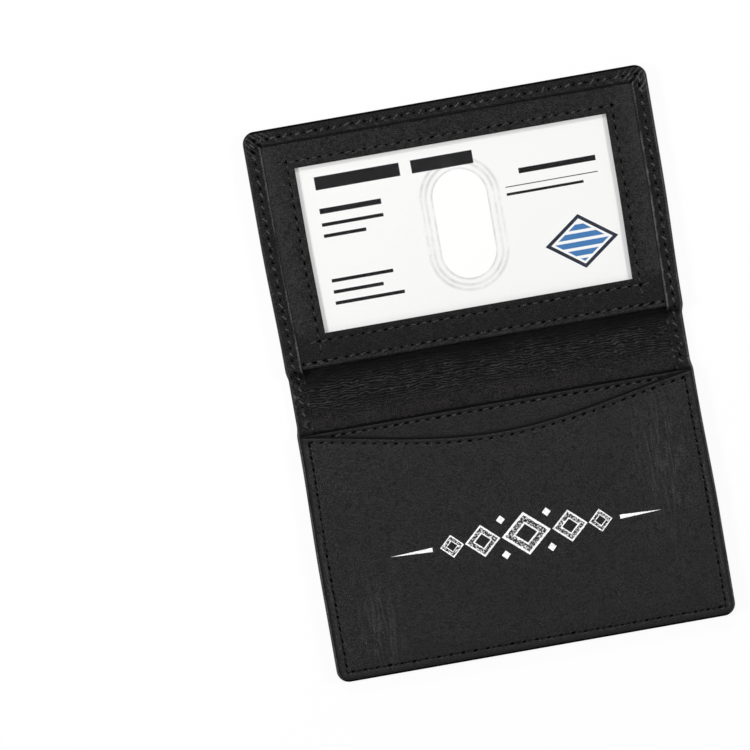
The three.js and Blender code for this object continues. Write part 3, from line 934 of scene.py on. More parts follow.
# %% Clear sheet
SHEET_LOW, SHEET_HIGH = box_mm("clear_window")
SHEET_THICKNESS = SHEET_HIGH[2] - SHEET_LOW[2]
SLOT_RADIUS = 7.0
SLOT_STRAIGHT = 7.0
SLOT_TURN_STATIONS = 49
SLOT_SIDE_STATIONS = 15
PRESSED_RINGS = (1.75, 3.0)
RING_HEIGHT = 0.16
RING_HALF = 0.38
SLOT_LIP = 0.1
SLOT_LIP_REACH = 0.6
SET_OFFS = np.concatenate([stations(0, 4.6, 0.1), [6.0, 9.0]])
ALMOST_ZERO = 1e-9
slot_middle = (window_near + window_far) / 2


def clear_sheet():
    """Set-off outlines of a slot with round ends, then rays out to the sheet's rectangle."""
    turn = np.linspace(0, np.pi, SLOT_TURN_STATIONS)
    straight = np.linspace(-1, 1, SLOT_SIDE_STATIONS)[1:-1]
    upper = np.stack([np.cos(turn), np.sin(turn)], axis=1)
    lower = np.stack([np.cos(turn - np.pi), np.sin(turn - np.pi)], axis=1)
    left = np.tile([-1.0, 0.0], (len(straight), 1))
    out = np.concatenate([upper, left, lower, -left])
    ends = np.ones(len(turn))
    axis_y = slot_middle + SLOT_STRAIGHT * np.concatenate([ends, -straight, -ends, straight])
    x = out[:, :1] * (SLOT_RADIUS + SET_OFFS)
    y = axis_y[:, None] + out[:, 1:] * (SLOT_RADIUS + SET_OFFS)
    reach_x = SHEET_HIGH[0] / np.maximum(np.abs(out[:, 0]), ALMOST_ZERO)
    limit_y = np.where(out[:, 1] > 0, SHEET_HIGH[1] - axis_y, axis_y - SHEET_LOW[1])
    reach = np.minimum(reach_x, limit_y / np.maximum(np.abs(out[:, 1]), ALMOST_ZERO))
    x = np.concatenate([x, (out[:, 0] * reach)[:, None]], axis=1)
    y = np.concatenate([y, (axis_y + out[:, 1] * reach)[:, None]], axis=1)
    ridges = sum(np.clip(1 - ((SET_OFFS - ring) / RING_HALF) ** 2, 0, 1) ** 2 for ring in PRESSED_RINGS)
    height = RING_HEIGHT * ridges + SLOT_LIP * smoothstep(SLOT_LIP_REACH, 0, SET_OFFS)
    top = xyz(x, y, SHEET_HIGH[2] + np.concatenate([height, [0]])).transpose(1, 0, 2)
    under = top[::-1] - [0, 0, SHEET_THICKNESS]
    grid = np.concatenate([top, under, top[:1]])
    return new_piece("clear_window_sheet", [(grid, grid_faces(*grid.shape[:2], wrap=True))])


window_sheet = clear_sheet()

# %% [markdown]
# ## Card
#
# The card behind the window is a slab with slightly round corners. A bevelled cube would do, but rings
# that shrink to the middle give its two faces and its cut edge as one closed skin, with the rounding of
# cut stock. What is printed on it comes with its material.

# %% Card
CARD_LOW, CARD_HIGH = box_mm("display_card")
CARD_CORNER = 0.6
CARD_ROUND = 0.06
CARD_SET_IN = np.array([1.0, CARD_ROUND, 0.0, 0.0, CARD_ROUND, 1.0])
CARD_LEVELS = np.array([-1.0, -1.0, -0.6, 0.6, 1.0, 1.0])
CARD_CORNER_STATIONS = 7


def card():
    """Rounded rectangles set in by a distance, from the middle of one face to that of the other."""
    middle = (CARD_LOW + CARD_HIGH) / 2
    half = (CARD_HIGH - CARD_LOW) / 2
    quarter = np.linspace(0, np.pi / 2, CARD_CORNER_STATIONS)
    turn = (quarter + np.pi / 2 * np.arange(4)[:, None]).ravel()
    way = np.repeat([[1, 1], [-1, 1], [-1, -1], [1, -1]], len(quarter), axis=0)
    height = CARD_LEVELS * half[2] + middle[2]
    radius = np.maximum(CARD_CORNER - CARD_SET_IN, 0)
    centre = way[:, None] * (half[:2] - CARD_SET_IN[:, None] - radius[:, None])
    ring = centre + radius[:, None] * np.stack([np.cos(turn), np.sin(turn)], axis=1)[:, None]
    rings = xyz(middle[0] + ring[..., 0], middle[1] + ring[..., 1], height)
    poles = [0 * rings[:, :1] + [middle[0], middle[1], level] for level in (height[0], height[-1])]
    grid = np.concatenate([poles[0], rings, poles[1]], axis=1).transpose(1, 0, 2)
    return new_piece("shown_business_card", [(grid, grid_faces(*grid.shape[:2], wrap=True))])


shown_card = card()

# %% [markdown]
# ## Pocket panels
#
# The rear panel has a straight mouth and the front panel a scooped one, drawn as two mirrored cubic
# curves. A plane cut to that outline would have ragged rows along the curve. So each panel is two grids,
# its face and its back, whose rows follow the mouth. Close to the outline the face and the back come
# together in a full roll, so the two grids are sewn there into one closed skin. Rows lie closest along
# the edges and where the scoop's shadow falls on the rear panel.

# %% Outline of a pocket panel
POCKET_SIDE = box_mm("front_pocket_panel")[1][0]
POCKET_FAR = -box_mm("front_pocket_panel")[0][1]
POCKET_CORNER = CORNER - (SIDE - POCKET_SIDE)
SCOOP_NEAR = POCKET_EDGE + 0.3
SCOOP_DEPTH = 7.2
SCOOP_HANDLES = ((19.0, SCOOP_DEPTH), (POCKET_SIDE - 15.4, 2.1))
SCOOP_STATIONS = 400
ROLL_LINES = np.array([0, 0.03, 0.1, 0.2, 0.35])
BORDER_LINES = np.concatenate([ROLL_LINES, stations(0.55, 2.55, 0.17), [2.8, 3.1]])
PANEL_STEP = 0.55
SCOOP_STEP = 0.2
SCOOP_SHARE = 0.09


def straight_mouth(x):
    """The rear pocket's mouth: the same distance from the fold all along."""
    return POCKET_EDGE + 0 * x


def scooped_mouth(x):
    """The front pocket's mouth: a cubic curve from its deepest point in the middle out to each side."""
    t = np.linspace(0, 1, SCOOP_STATIONS)
    (first_x, first_y), (second_x, second_y) = SCOOP_HANDLES
    out = 3 * (1 - t) ** 2 * t * first_x + 3 * (1 - t) * t**2 * second_x + t**3 * POCKET_SIDE
    deep = (1 - t) ** 3 * SCOOP_DEPTH + 3 * (1 - t) ** 2 * t * first_y + 3 * (1 - t) * t**2 * second_y
    return SCOOP_NEAR + np.interp(np.abs(x), out, deep)


def panel_grid(mouth):
    """Columns from side to side and rows from the mouth to the far edge, close together at the border."""
    inner = POCKET_SIDE - BORDER_LINES[-1]
    inner_columns = stations(-inner, inner, PANEL_STEP)[1:-1]
    columns = np.concatenate([BORDER_LINES - POCKET_SIDE, inner_columns, POCKET_SIDE - BORDER_LINES[::-1]])
    past = np.maximum(np.abs(columns) - (POCKET_SIDE - POCKET_CORNER), 0)
    far = POCKET_FAR - POCKET_CORNER + np.sqrt(POCKET_CORNER**2 - past**2)
    near = mouth(columns)
    depth = POCKET_FAR - POCKET_EDGE
    share = joined_stations(0.0, (SCOOP_SHARE, SCOOP_STEP / depth), (1.0, PANEL_STEP / depth))[1:-1, None]
    first = near + BORDER_LINES[-1]
    last = far - BORDER_LINES[-1]
    rows = [near + BORDER_LINES[:, None], first + (last - first) * share, far - BORDER_LINES[::-1, None]]
    y = np.concatenate(rows)
    return columns + 0 * y, y


def panel_edge_distance(x, y):
    """Distance in from the panel's sides and far edge, round corners included."""
    to_side = POCKET_SIDE - np.abs(x)
    to_far = POCKET_FAR - y
    in_corner = (to_side < POCKET_CORNER) & (to_far < POCKET_CORNER)
    round_corner = POCKET_CORNER - np.hypot(POCKET_CORNER - to_side, POCKET_CORNER - to_far)
    return np.maximum(np.where(in_corner, round_corner, np.minimum(to_side, to_far)), 0)


print("grid of the front panel, rows by columns:", panel_grid(scooped_mouth)[0].shape)


# %% [markdown]
# The relief of each panel is the sum of its seams and its wear. The mouth's seam follows the mouth at a
# set distance, and its stitches are counted along the curve. The seam of the edge lies on the front panel
# and a little further in than the cover's. The front panel dips where it is sewn down and carries the
# wrinkles that bending has left.

# %% Relief of the pocket panels
REAR_TOP = box_mm("rear_pocket_panel")[1][2]
FRONT_TOP = box_mm("front_pocket_panel")[1][2]
PANEL_SEAM = 2.85
POCKET_EDGE_SEAM = PANEL_SEAM - (SIDE - POCKET_SIDE)
MOUTH_SEAM = 1.25
MOUTH_PITCH = 2.75
OFF_MOUTH = (0.8, 1.6)
SEWN_DIP = 0.33
SEWN_REACH = (6.0, 0.5)
REAR_UNEVEN = 0.06
FRONT_UNEVEN = 0.1
WRINKLE_DEPTH = 0.25
WEAR_PATCHES = (((40.0, 29.0), (6.5, 17.0)), ((-39.0, 59.0), (5.5, 12.0)))
mouth_line = np.linspace(-POCKET_SIDE, POCKET_SIDE, 800)
pocket_seam = edge_seam(edge_path(POCKET_EDGE), PANEL_SEAM)


def mouth_groove(mouth, x, to_mouth):
    """Groove of the mouth's seam, with its stitches counted along the length of the mouth."""
    length = path_length(mouth_line, mouth(mouth_line))
    count = int(round(length[-1] / MOUTH_PITCH))
    phase = 2 * np.pi * count * np.interp(x, mouth_line, length) / length[-1]
    return groove(to_mouth - MOUTH_SEAM, phase)


def edge_groove(x, y, to_edge):
    """Groove of the edge's seam, with its stitches counted up along the sides, and along the far edge."""
    _, _, length, count = pocket_seam
    on_side = POCKET_SIDE - np.abs(x) < POCKET_FAR - y
    phase = 2 * np.pi * np.where(on_side, y, length[-1] / 2 - np.abs(x)) / (length[-1] / count)
    return groove(to_edge - POCKET_EDGE_SEAM, phase)


def wear_patches(x, y):
    """Patches from 0 to 1 that bending has creased, each fading out round its middle."""
    return sum(bell(-x, at_x, wide) * bell(y, at_y, long) for (at_x, at_y), (wide, long) in WEAR_PATCHES)


def rear_relief(x, y, to_mouth, to_edge):
    """Groove of the straight mouth's seam, and the unevenness of the leather."""
    seam = PANEL_GROOVE * mouth_groove(straight_mouth, x, to_mouth)
    return seam + REAR_UNEVEN * lattice_noise(x, y, cell=(11, 6), seed=41)


def front_relief(x, y, to_mouth, to_edge):
    """Grooves of the mouth's and the edge's seams, wrinkles in the worn patches, and unevenness."""
    edge = edge_groove(x, y, to_edge) * smoothstep(*OFF_MOUTH, to_mouth)
    worn = WRINKLE_DEPTH * wear_patches(x, y) * creases(x, y, cell=(1.6, 13.0), seed=31, sharpness=3)
    uneven = FRONT_UNEVEN * lattice_noise(x, y, cell=(16, 12), seed=42)
    return PANEL_GROOVE * (mouth_groove(scooped_mouth, x, to_mouth) + edge) + uneven + worn


print(f"edge seam of the front panel: {pocket_seam[2][-1]:.0f} mm, {pocket_seam[3]} stitches")


# %% [markdown]
# Along the lip of each mouth a dark line of painted shade is drawn, with a painted highlight just behind
# it. Seams are dark, and shade is painted on the rear panel in the corner under the front one's lip. The
# sides of the front panel puff up and carry a painted highlight between their seam and the edge, and shade
# is painted along the panels' outer rims and far edge.

# %% Pocket panels
REAR_DARK = 0.2
PATCH_RUB = 0.19
MOUTH_LINE = (0.4, 0.2)
MOUTH_HIGHLIGHT = 0.12
PUFFED_LINE = (POCKET_EDGE_SEAM - 0.75, 0.45)
PUFFED_HIGHLIGHT = 0.14
MOUTH_SEAM_LINE = (MOUTH_SEAM - 0.1, 0.4)
REAR_SEAM_DARK = 0.75
FRONT_SEAM_DARK = 0.35
EDGE_SEAM_LINE = (POCKET_EDGE_SEAM, 0.22)
EDGE_SEAM_DARK = 0.35
LIP_LINE_SHADE = (0.22, 0.08)
RIM_LINE_SHADE = (0.5, 0.1)
FAR_RIM_SHADE_START = (1.4, 0.3)
FAR_RIM_SHADE = 0.5
LIP_SHADE_ROWS = 2


def rear_tone_and_shade(x, y, mouth_seam):
    """The rear panel is a little darker all over and at its seam, with painted shade in the corner under
    the front lip.
    """
    return -REAR_DARK - REAR_SEAM_DARK * mouth_seam - shadow_under_lip(scooped_mouth(x) - y)


def front_marks(x, y, mouth_seam):
    """The front panel has rubbing in its worn patches, and is less dark at its seam."""
    return PATCH_RUB * wear_patches(x, y) - FRONT_SEAM_DARK * mouth_seam


def pocket_painted_light_and_seams(x, y, to_mouth, to_edge):
    """Painted light of both panels: highlights behind the mouth and along the sides, and shade at the lips,
    the rims and the far edge; dark at the edge seam.
    """
    on_side = smoothstep(-1, 1, POCKET_FAR - y - POCKET_SIDE + np.abs(x))
    rub_and_highlight = MOUTH_HIGHLIGHT * bell(to_mouth, *MOUTH_LINE) + PUFFED_HIGHLIGHT * bell(to_edge, *PUFFED_LINE) * on_side
    # Painted shade along the mouth's lip and along the panel's outer rim.
    rim = smoothstep(*LIP_LINE_SHADE, to_mouth) + smoothstep(*RIM_LINE_SHADE, to_edge)
    far_rim_shade = FAR_RIM_SHADE * smoothstep(*FAR_RIM_SHADE_START, POCKET_FAR - y)
    side_seam = EDGE_SEAM_DARK * bell(to_edge, *EDGE_SEAM_LINE) * smoothstep(*OFF_MOUTH, to_mouth)
    return rub_and_highlight - rim - far_rim_shade - side_seam


def pocket_panel(name, mouth, top, dip, relief, marks):
    """A panel whose face and back lie half the leather's thickness from its middle, rolled at the edge.

    The dip is how far it is pulled down where its edge is sewn, in mm.
    """
    x, y = panel_grid(mouth)
    slope = np.gradient(mouth(x[0]), x[0])
    to_mouth = np.maximum((y - mouth(x)) / np.hypot(1, slope), 0)
    to_edge = panel_edge_distance(x, y)
    inward = np.minimum(to_mouth, to_edge)
    depth = EDGE_ROLL - np.minimum(inward, EDGE_ROLL)
    rolled = np.sqrt(np.maximum(EDGE_ROLL**2 - depth**2, 0))
    middle = top - EDGE_ROLL - dip * smoothstep(*SEWN_REACH, to_edge)
    face = middle + rolled - relief(x, y, to_mouth, to_edge) * smoothstep(0, 0.5, inward)
    grids = [(xyz(x, y, z), grid_faces(*x.shape)) for z in (face, middle - rolled)]
    wear_and_painted_light = marks(x, y, bell(to_mouth, *MOUTH_SEAM_LINE)) + pocket_painted_light_and_seams(x, y, to_mouth, to_edge)
    # Painted shade: the lip's outermost rows get the plain dark finish.
    shaded_lip = np.repeat(np.arange(len(x) - 1) < LIP_SHADE_ROWS, x.shape[1] - 1)
    return new_piece(name, grids, POCKET_HALF, wear_and_painted_light=[wear_and_painted_light, 0 * wear_and_painted_light], finishes=np.tile(shaded_lip, 2))


rear_panel = pocket_panel("rear_pocket_leather", straight_mouth, REAR_TOP, 0.0, rear_relief, rear_tone_and_shade)
front_panel = pocket_panel(
    "front_pocket_leather", scooped_mouth, FRONT_TOP, SEWN_DIP, front_relief, front_marks
)

# %% [markdown]
# ## Stitches
#
# Each stitch is a bead of thread: a tube that swells in the middle and dives into the leather at both
# ends. An Array modifier on a curve would make them all alike. Here one bead is a small grid, and numpy
# lays a copy of it at every place along a seam in a single step. Between two beads lies the slit that the
# needle left, a flat dark ellipsoid that paints the shade in the needle's hole. Machine-sewn stitches slant
# a little against their line, and no two are quite alike, so beads and slits vary in size and wander a
# little.

# %% Stitch maker
BEAD_ALONG = np.linspace(-1, 1, 8)
BEAD_AROUND = np.linspace(0, 2 * np.pi, 6, endpoint=False)
BEAD_LENGTH = 0.56
BEAD_VARY = (0.7, 1.1)
BEAD_RISE = 0.14
THREAD = 0.28
THREAD_SINK = 0.75 * THREAD
SLIT_SIZE = (0.66, 0.27, 0.05)
SLIT_VARY = (0.65, 1.1)
SLIT_SINK = 0.06
SLIT_RINGS = np.linspace(0, np.pi, 5)
SLIT_AROUND = np.linspace(0, 2 * np.pi, 10, endpoint=False)


def copies(name, seam, along, aside, lift):
    """One small closed grid, given by three arrays, laid at every point of a seam along its heading.

    A first axis of the arrays, if they have one, holds a form for each point.
    """
    way = np.stack([np.cos(seam.heading), np.sin(seam.heading)], axis=-1)[:, None, None]
    left = np.stack([-np.sin(seam.heading), np.cos(seam.heading)], axis=-1)[:, None, None]
    place = np.stack([seam.x, seam.y], axis=-1)[:, None, None] + along[..., None] * way
    place = place + aside[..., None] * left
    spots = xyz(place[..., 0], place[..., 1], (seam.z + 0 * seam.x)[:, None, None] + seam.up * lift)
    rows, columns = along.shape[-2:]
    one = grid_faces(rows, columns, wrap=True)
    faces = (one[None] + rows * columns * np.arange(len(seam.x))[:, None, None]).reshape(-1, 4)
    return new_piece(name, [(spots, faces)], seam.half)


def bead_row(name, seam):
    """Beads at points of a seam.

    Along a bead, t from -1 to 1: thread radius r (1 - t^4)^(1/2), and height rise (1 - t^2) - sink.
    """
    t = BEAD_ALONG[:, None]
    around = BEAD_AROUND[None, :]
    vary = np.random.default_rng(len(seam.x)).uniform(*BEAD_VARY, (2, len(seam.x), 1, 1))
    radius = vary[0] * THREAD * np.sqrt(1 - t**4)
    along = vary[1] * t * seam.pitch * BEAD_LENGTH / 2 + 0 * around
    lift = radius * np.sin(around) + BEAD_RISE * (1 - t**2) - THREAD_SINK
    return copies(f"stitches_{name}", seam, along, radius * np.cos(around), lift)


def slit_row(name, seam):
    """Flat dark ellipsoids of uneven size in the hollows of a seam: painted shade in the slits that the
    needle left.
    """
    over = SLIT_RINGS[:, None]
    around = SLIT_AROUND[None, :]
    vary = np.random.default_rng(len(seam.x)).uniform(*SLIT_VARY, (2, len(seam.x), 1, 1))
    along = vary[0] * SLIT_SIZE[0] * np.sin(over) * np.cos(around)
    aside = vary[1] * SLIT_SIZE[1] * np.sin(over) * np.sin(around)
    lift = SLIT_SIZE[2] * np.cos(over) + 0 * around - SLIT_SINK
    return copies(f"hole_shades_{name}", seam, along, aside, lift)


print("points of a bead:", len(BEAD_ALONG) * len(BEAD_AROUND))
print("points of a slit:", len(SLIT_RINGS) * len(SLIT_AROUND))


# %% [markdown]
# A seam is a list of lines. Beads lie in the middle of each step along a line, and slits at its ends.
# Where a seam is partly hidden, only the stitches that show are kept.

# %% Sewing
HEADING_REACH = 0.2
STITCH_SLANT = 12.0
STITCH_WANDER = 0.4
WANDER_ASIDE = 0.1
WANDER_TURN = 12.0
WANDER_SEED = 7


def spaced(x, y, pitch, first, past):
    """Points at whole steps from first to past the end of a line, and the line's heading there."""
    length = path_length(x, y)
    count = max(int(round(length[-1] / pitch)), 1)
    at = np.arange(first, count + past, 1.0) * length[-1] / count
    ahead = at + HEADING_REACH
    behind = at - HEADING_REACH
    dx = np.interp(ahead, length, x) - np.interp(behind, length, x)
    dy = np.interp(ahead, length, y) - np.interp(behind, length, y)
    return np.interp(at, length, x), np.interp(at, length, y), np.arctan2(dy, dx)


def sew(
    name,
    lines,
    face,
    pitch,
    half=WINDOW_HALF,
    up=1,
    slant=STITCH_SLANT,
    wander=STITCH_WANDER,
    set_back=0.0,
    slit_drop=0.0,
    past=0.0,
    x_end=math.inf,
    y_start=-math.inf,
    y_end=math.inf,
):
    """Beads and slits along lines, on a face that gives the height at x and y.

    Both are turned by the slant, in degrees, against the line, and wander a little from it. They are set
    back to the left of the line, and the slits lie lower by the slit drop. Up is -1 on the outside. Only
    stitches with |x| below x_end and y from y_start to y_end are sewn.
    """
    made = []
    for first, row, drop in ((0.5, bead_row, 0.0), (0.0, slit_row, slit_drop)):
        rows = [spaced(x, y, pitch, first, past) for x, y in lines]
        x, y, heading = (np.concatenate(values) for values in zip(*rows))
        x = x - set_back * np.sin(heading)
        y = y + set_back * np.cos(heading)
        kept = (np.abs(x) < x_end) & (y > y_start) & (y < y_end)
        x, y, heading = (values[kept] for values in (x, y, heading))
        turned, moved = wander * np.random.default_rng(len(x) + WANDER_SEED).normal(size=(2, len(x)))
        x = x - WANDER_ASIDE * moved * np.sin(heading)
        y = y + WANDER_ASIDE * moved * np.cos(heading)
        heading = heading + math.radians(slant) + math.radians(WANDER_TURN) * turned
        seam = SimpleNamespace(x=x, y=y, heading=heading, pitch=pitch, half=half, up=up)
        seam.z = face(x, y) - up * drop
        made.append(row(name, seam))
    return made


# %% [markdown]
# The seam round the edge goes through the whole stack, so it shows on both faces: inside on the hem and
# on the front pocket panel, outside on the cover. The other seams only show inside. On the hem the
# stitches slant more and are less even than elsewhere.

# %% Seams
THREAD_SEAT = 0.1
SPINE_SEAT = 0.5 * SPINE_PUCKER
HEM_STITCHES = {"slant": 32, "slit_drop": 0.6 * PUCKER, "wander": 1.0}
OUTER_STITCHES = {"up": -1, "slant": -8}
MOUTH_STITCHES = {"pitch": MOUTH_PITCH, "half": POCKET_HALF, "set_back": MOUTH_SEAM}
HEM_SEAM_END = POCKET_EDGE - 1
PANEL_SEAM_START = SCOOP_NEAR + 1.0
REAR_SEAM_END = 44.0
FRONT_SEAM_END = POCKET_SIDE - 2.5
window_line = edge_seam(edge_path(WINDOW_EDGE))[:2]
pocket_line = edge_seam(edge_path(POCKET_EDGE))[:2]
window_lines = [tuple(np.array(seam).T) for seam in WINDOW_SEAMS]
rear_mouth_line = (mouth_line, straight_mouth(mouth_line))
front_mouth_line = (mouth_line, scooped_mouth(mouth_line))


def level_face(height):
    """A face at one height, as a function of x and y."""

    def face(x, y):
        """The same height at every x and y."""
        return height + 0 * x

    return face


def window_hem_face(x, y):
    """Height of the window half's hem under a stitch."""
    return hem_height(y, WINDOW_EDGE, WINDOW_TOP) - THREAD_SEAT - SPINE_SEAT * at_spine(y, WINDOW_EDGE)


def front_face(x, y):
    """Height of the front panel under a stitch."""
    return FRONT_TOP - SEWN_DIP * smoothstep(*SEWN_REACH, panel_edge_distance(x, y)) - THREAD_SEAT


spine_hem_face = level_face(SPINE_TOP - SPINE_SEAT - THREAD_SEAT)
cover_face = level_face(THREAD_SEAT)
window_face = level_face(PANEL_TOP - THREAD_SEAT)
rear_face = level_face(REAR_TOP - THREAD_SEAT)

window_hem_seam = sew("window_hem", [window_line], window_hem_face, EDGE_PITCH, **HEM_STITCHES)
spine_hem_seam = sew(
    "spine_hem", [pocket_line], spine_hem_face, EDGE_PITCH, POCKET_HALF, y_end=HEM_SEAM_END, **HEM_STITCHES
)
window_outer_seam = sew("window_outside", [window_line], cover_face, EDGE_PITCH, **OUTER_STITCHES)
pocket_outer_seam = sew(
    "pocket_outside", [pocket_line], cover_face, EDGE_PITCH, POCKET_HALF, **OUTER_STITCHES
)
window_seam = sew("window", window_lines, window_face, WINDOW_PITCH, past=0.5)
rear_mouth_seam = sew(
    "rear_mouth", [rear_mouth_line], rear_face, x_end=REAR_SEAM_END, **MOUTH_STITCHES
)
front_mouth_seam = sew(
    "front_mouth", [front_mouth_line], front_face, x_end=FRONT_SEAM_END, **MOUTH_STITCHES
)
pocket_edge_seam = sew(
    "pocket_edge", [pocket_seam[:2]], front_face, EDGE_PITCH, POCKET_HALF, y_start=PANEL_SEAM_START
)

# %% [markdown]
# ## Shader maths in Python
#
# A material is a small program made of nodes. One class wraps a socket, so that ordinary operators add
# Math nodes, and one method makes any other node. A finish can then be written as an expression.

# %% Socket class


class Wire:
    """A socket of a node tree. Operators on it add Math nodes, and node() adds any other node."""

    def __init__(self, tree, socket=None):
        self.tree = tree
        self.socket = socket

    def node(self, kind, settings=None, inputs=None):
        """Adds a node: its settings first, then the values or links of its inputs. Gives its outputs."""
        made = self.tree.nodes.new(kind)
        for name, value in (settings or {}).items():
            setattr(made, name, value)
        for key, value in (inputs or {}).items():
            if isinstance(value, Wire):
                self.tree.links.new(value.socket, made.inputs[key])
            else:
                made.inputs[key].default_value = value
        return {output.name: Wire(self.tree, output) for output in made.outputs if output.enabled}

    def math(self, operation, *others):
        """A Math node on this value and others."""
        values = dict(enumerate([self, *others]))
        return self.node("ShaderNodeMath", {"operation": operation}, values)["Value"]

    def __add__(self, other):
        return self.math("ADD", other)

    def __sub__(self, other):
        return self.math("SUBTRACT", other)

    def __rsub__(self, other):
        return (self * -1) + other

    def __mul__(self, other):
        return self.math("MULTIPLY", other)

    def __truediv__(self, other):
        return self.math("DIVIDE", other)

    def __pow__(self, other):
        return self.math("POWER", other)

    def __abs__(self):
        return self.math("ABSOLUTE")

    def __lt__(self, other):
        return self.math("LESS_THAN", other)

    def __gt__(self, other):
        return self.math("GREATER_THAN", other)

    __radd__ = __add__
    __rmul__ = __mul__

    def at_most(self, other):
        """The smaller of this value and another."""
        return self.math("MINIMUM", other)

    def at_least(self, other):
        """The larger of this value and another."""
        return self.math("MAXIMUM", other)

    def between(self, low, high):
        """This value, kept from low to high."""
        return self.at_least(low).at_most(high)

    def blend(self, low, high):
        """A colour that goes from low to high as this value goes from 0 to 1."""
        settings = {"data_type": "RGBA"}
        return self.node("ShaderNodeMix", settings, {0: self, 6: low, 7: high})["Result"]

    def place(self):
        """The Object coordinates of the point that is shaded."""
        return self.node("ShaderNodeTexCoord")["Object"]

    def noise(self, vector, size, detail, roughness=0.5):
        """Noise from 0 to 1 whose patches have a size in mm."""
        inputs = {"Vector": vector, "Scale": 1 / (size * MM), "Detail": detail, "Roughness": roughness}
        return self.node("ShaderNodeTexNoise", {}, inputs)["Fac"]

    def bump(self, height, depth, strength=1.0):
        """The normal of a surface with a relief, from a height of 0 to 1 and a depth in mm."""
        inputs = {"Height": height, "Strength": strength, "Distance": depth * MM}
        return self.node("ShaderNodeBump", {}, inputs)["Normal"]


def new_material(name):
    """A material with a Principled shader that feeds its output, and a wire to build on."""
    material = bpy.data.materials.new(name)
    material.use_nodes = True
    tree = material.node_tree
    return material, Wire(tree), tree.nodes["Principled BSDF"]


def connect(wire, shader, **links):
    """Links wires to sockets of the shader, where an underline in a name stands for a space."""
    for name, value in links.items():
        wire.tree.links.new(value.socket, shader.inputs[name.replace("_", " ")])


def place_mm(wire):
    """The x and y of the shaded point, in millimetres."""
    parts = wire.node("ShaderNodeSeparateXYZ", {}, {"Vector": wire.place()})
    return parts["X"] * (1 / MM), parts["Y"] * (1 / MM)


def mottle(wire, size, seed=0.0):
    """Soft noise from 0 to 1 with patches of a size in mm; the seed, in metres, moves it."""
    shift = {0: wire.place(), 1: (seed, seed, seed)}
    moved = wire.node("ShaderNodeVectorMath", {"operation": "ADD"}, shift)["Vector"]
    return wire.noise(moved, size, detail=4.0, roughness=0.55)


# %% [markdown]
# ## Leather
#
# Smooth black leather is dark all through, with a thin finish on top. A picture of it would have to be
# wrapped round every piece, but patterns on Object coordinates run on over all of them. The grain is a
# net of small cells, which a Voronoi pattern gives, roughened by finer noise. It goes into the bump, into
# the tone and a little into the roughness, so highlights break up the way they do on real hide. Larger
# noise makes soft mottling.
#
# The rubbing and painted light that each piece carries blends in a grey, or darkens and dulls the leather.
# The grey is rubbing in some places and a painted highlight in others, and the darkening is painted shade
# in places. On the panels the grey breaks up into fine lines. On the lining, lines like these are painted
# highlights along the creases.

# %% Leather grain
DYE = 0.0003
WARM = (1.06, 0.97, 1.0)
RUB_AND_HIGHLIGHT_GREY = (0.14, 0.136, 0.137, 1.0)
PEBBLE_SHARE = 0.6
PEBBLE_SLOPE = 4.0
FINE_SIZE = 0.35
LINE_SIZE = 1.4
LINE_SLOPE = 18.0
CREASE_SPACING = 0.68
CREASE_WAVES = 3.0
CREASE_SHARPNESS = 1.7
CREASE_GAPS = (2.4, -0.5)
CREASE_GAP_SIZE = 2.2
CREASE_MOST = 1.3


def grey(value):
    """A dark tone of the leather's dye, which is a touch warm."""
    return (value * WARM[0], value * WARM[1], value * WARM[2], 1.0)


def leather_height(wire, cell):
    """Grain height from 0 to 1: pebbles of a size in mm, and finer noise on them."""
    place = wire.place()
    inputs = {"Vector": place, "Scale": 1 / (cell * MM)}
    to_edge = wire.node("ShaderNodeTexVoronoi", {"feature": "DISTANCE_TO_EDGE"}, inputs)["Distance"]
    pebbles = (to_edge * PEBBLE_SLOPE).at_most(1.0)
    fine = wire.noise(place, cell * FINE_SIZE, detail=3.0, roughness=0.6)
    return PEBBLE_SHARE * pebbles + (1 - PEBBLE_SHARE) * fine


def stretched_noise(wire, stretch):
    """Noise whose patches are drawn out along x and y by one over a stretch."""
    drawn = wire.node("ShaderNodeMapping", {}, {"Vector": wire.place(), "Scale": (*stretch, 1)})["Vector"]
    return wire.noise(drawn, LINE_SIZE, detail=3.0)


def rub_and_highlight_lines(wire, stretch):
    """Fine lines from 0 to 1, where a stretched noise passes its middle."""
    return (1 - LINE_SLOPE * abs(stretched_noise(wire, stretch) - 0.5)).at_least(0.0)


def crease_highlight_lines(wire, stretch):
    """Broken lines from 0 to 1 along x, for painted highlights on the lining's creases: a sine of y, in
    spacings, that noise moves to and fro.
    """
    _, across = place_mm(wire)
    turns = across * (1 / CREASE_SPACING) + CREASE_WAVES * stretched_noise(wire, stretch)
    patchy = mottle(wire, CREASE_GAP_SIZE, seed=0.2)
    broken = (CREASE_GAPS[0] * patchy + CREASE_GAPS[1]).between(0.0, CREASE_MOST)
    return broken * (0.5 + 0.5 * (turns * (2 * math.pi)).math("SINE")) ** CREASE_SHARPNESS


print(f"creases of the lining: {CREASE_SPACING} mm apart")


# %% Leathers
SOFT_SIZE = 7.0
FLECK_SIZE = 1.3
GRAIN_TONE = (1.5, -0.4)
SOFT_TONE = 0.3
GRAIN_RUB_AND_HIGHLIGHT = (0.3, 1.3)
CREASE_HIGHLIGHT = 0.21
SOFT_ROUGH = 0.1
GRAIN_ROUGH = 0.12
WORN_ROUGH = 0.06
DARK_ROUGH = 0.4
WORN_FLAT = 0.7


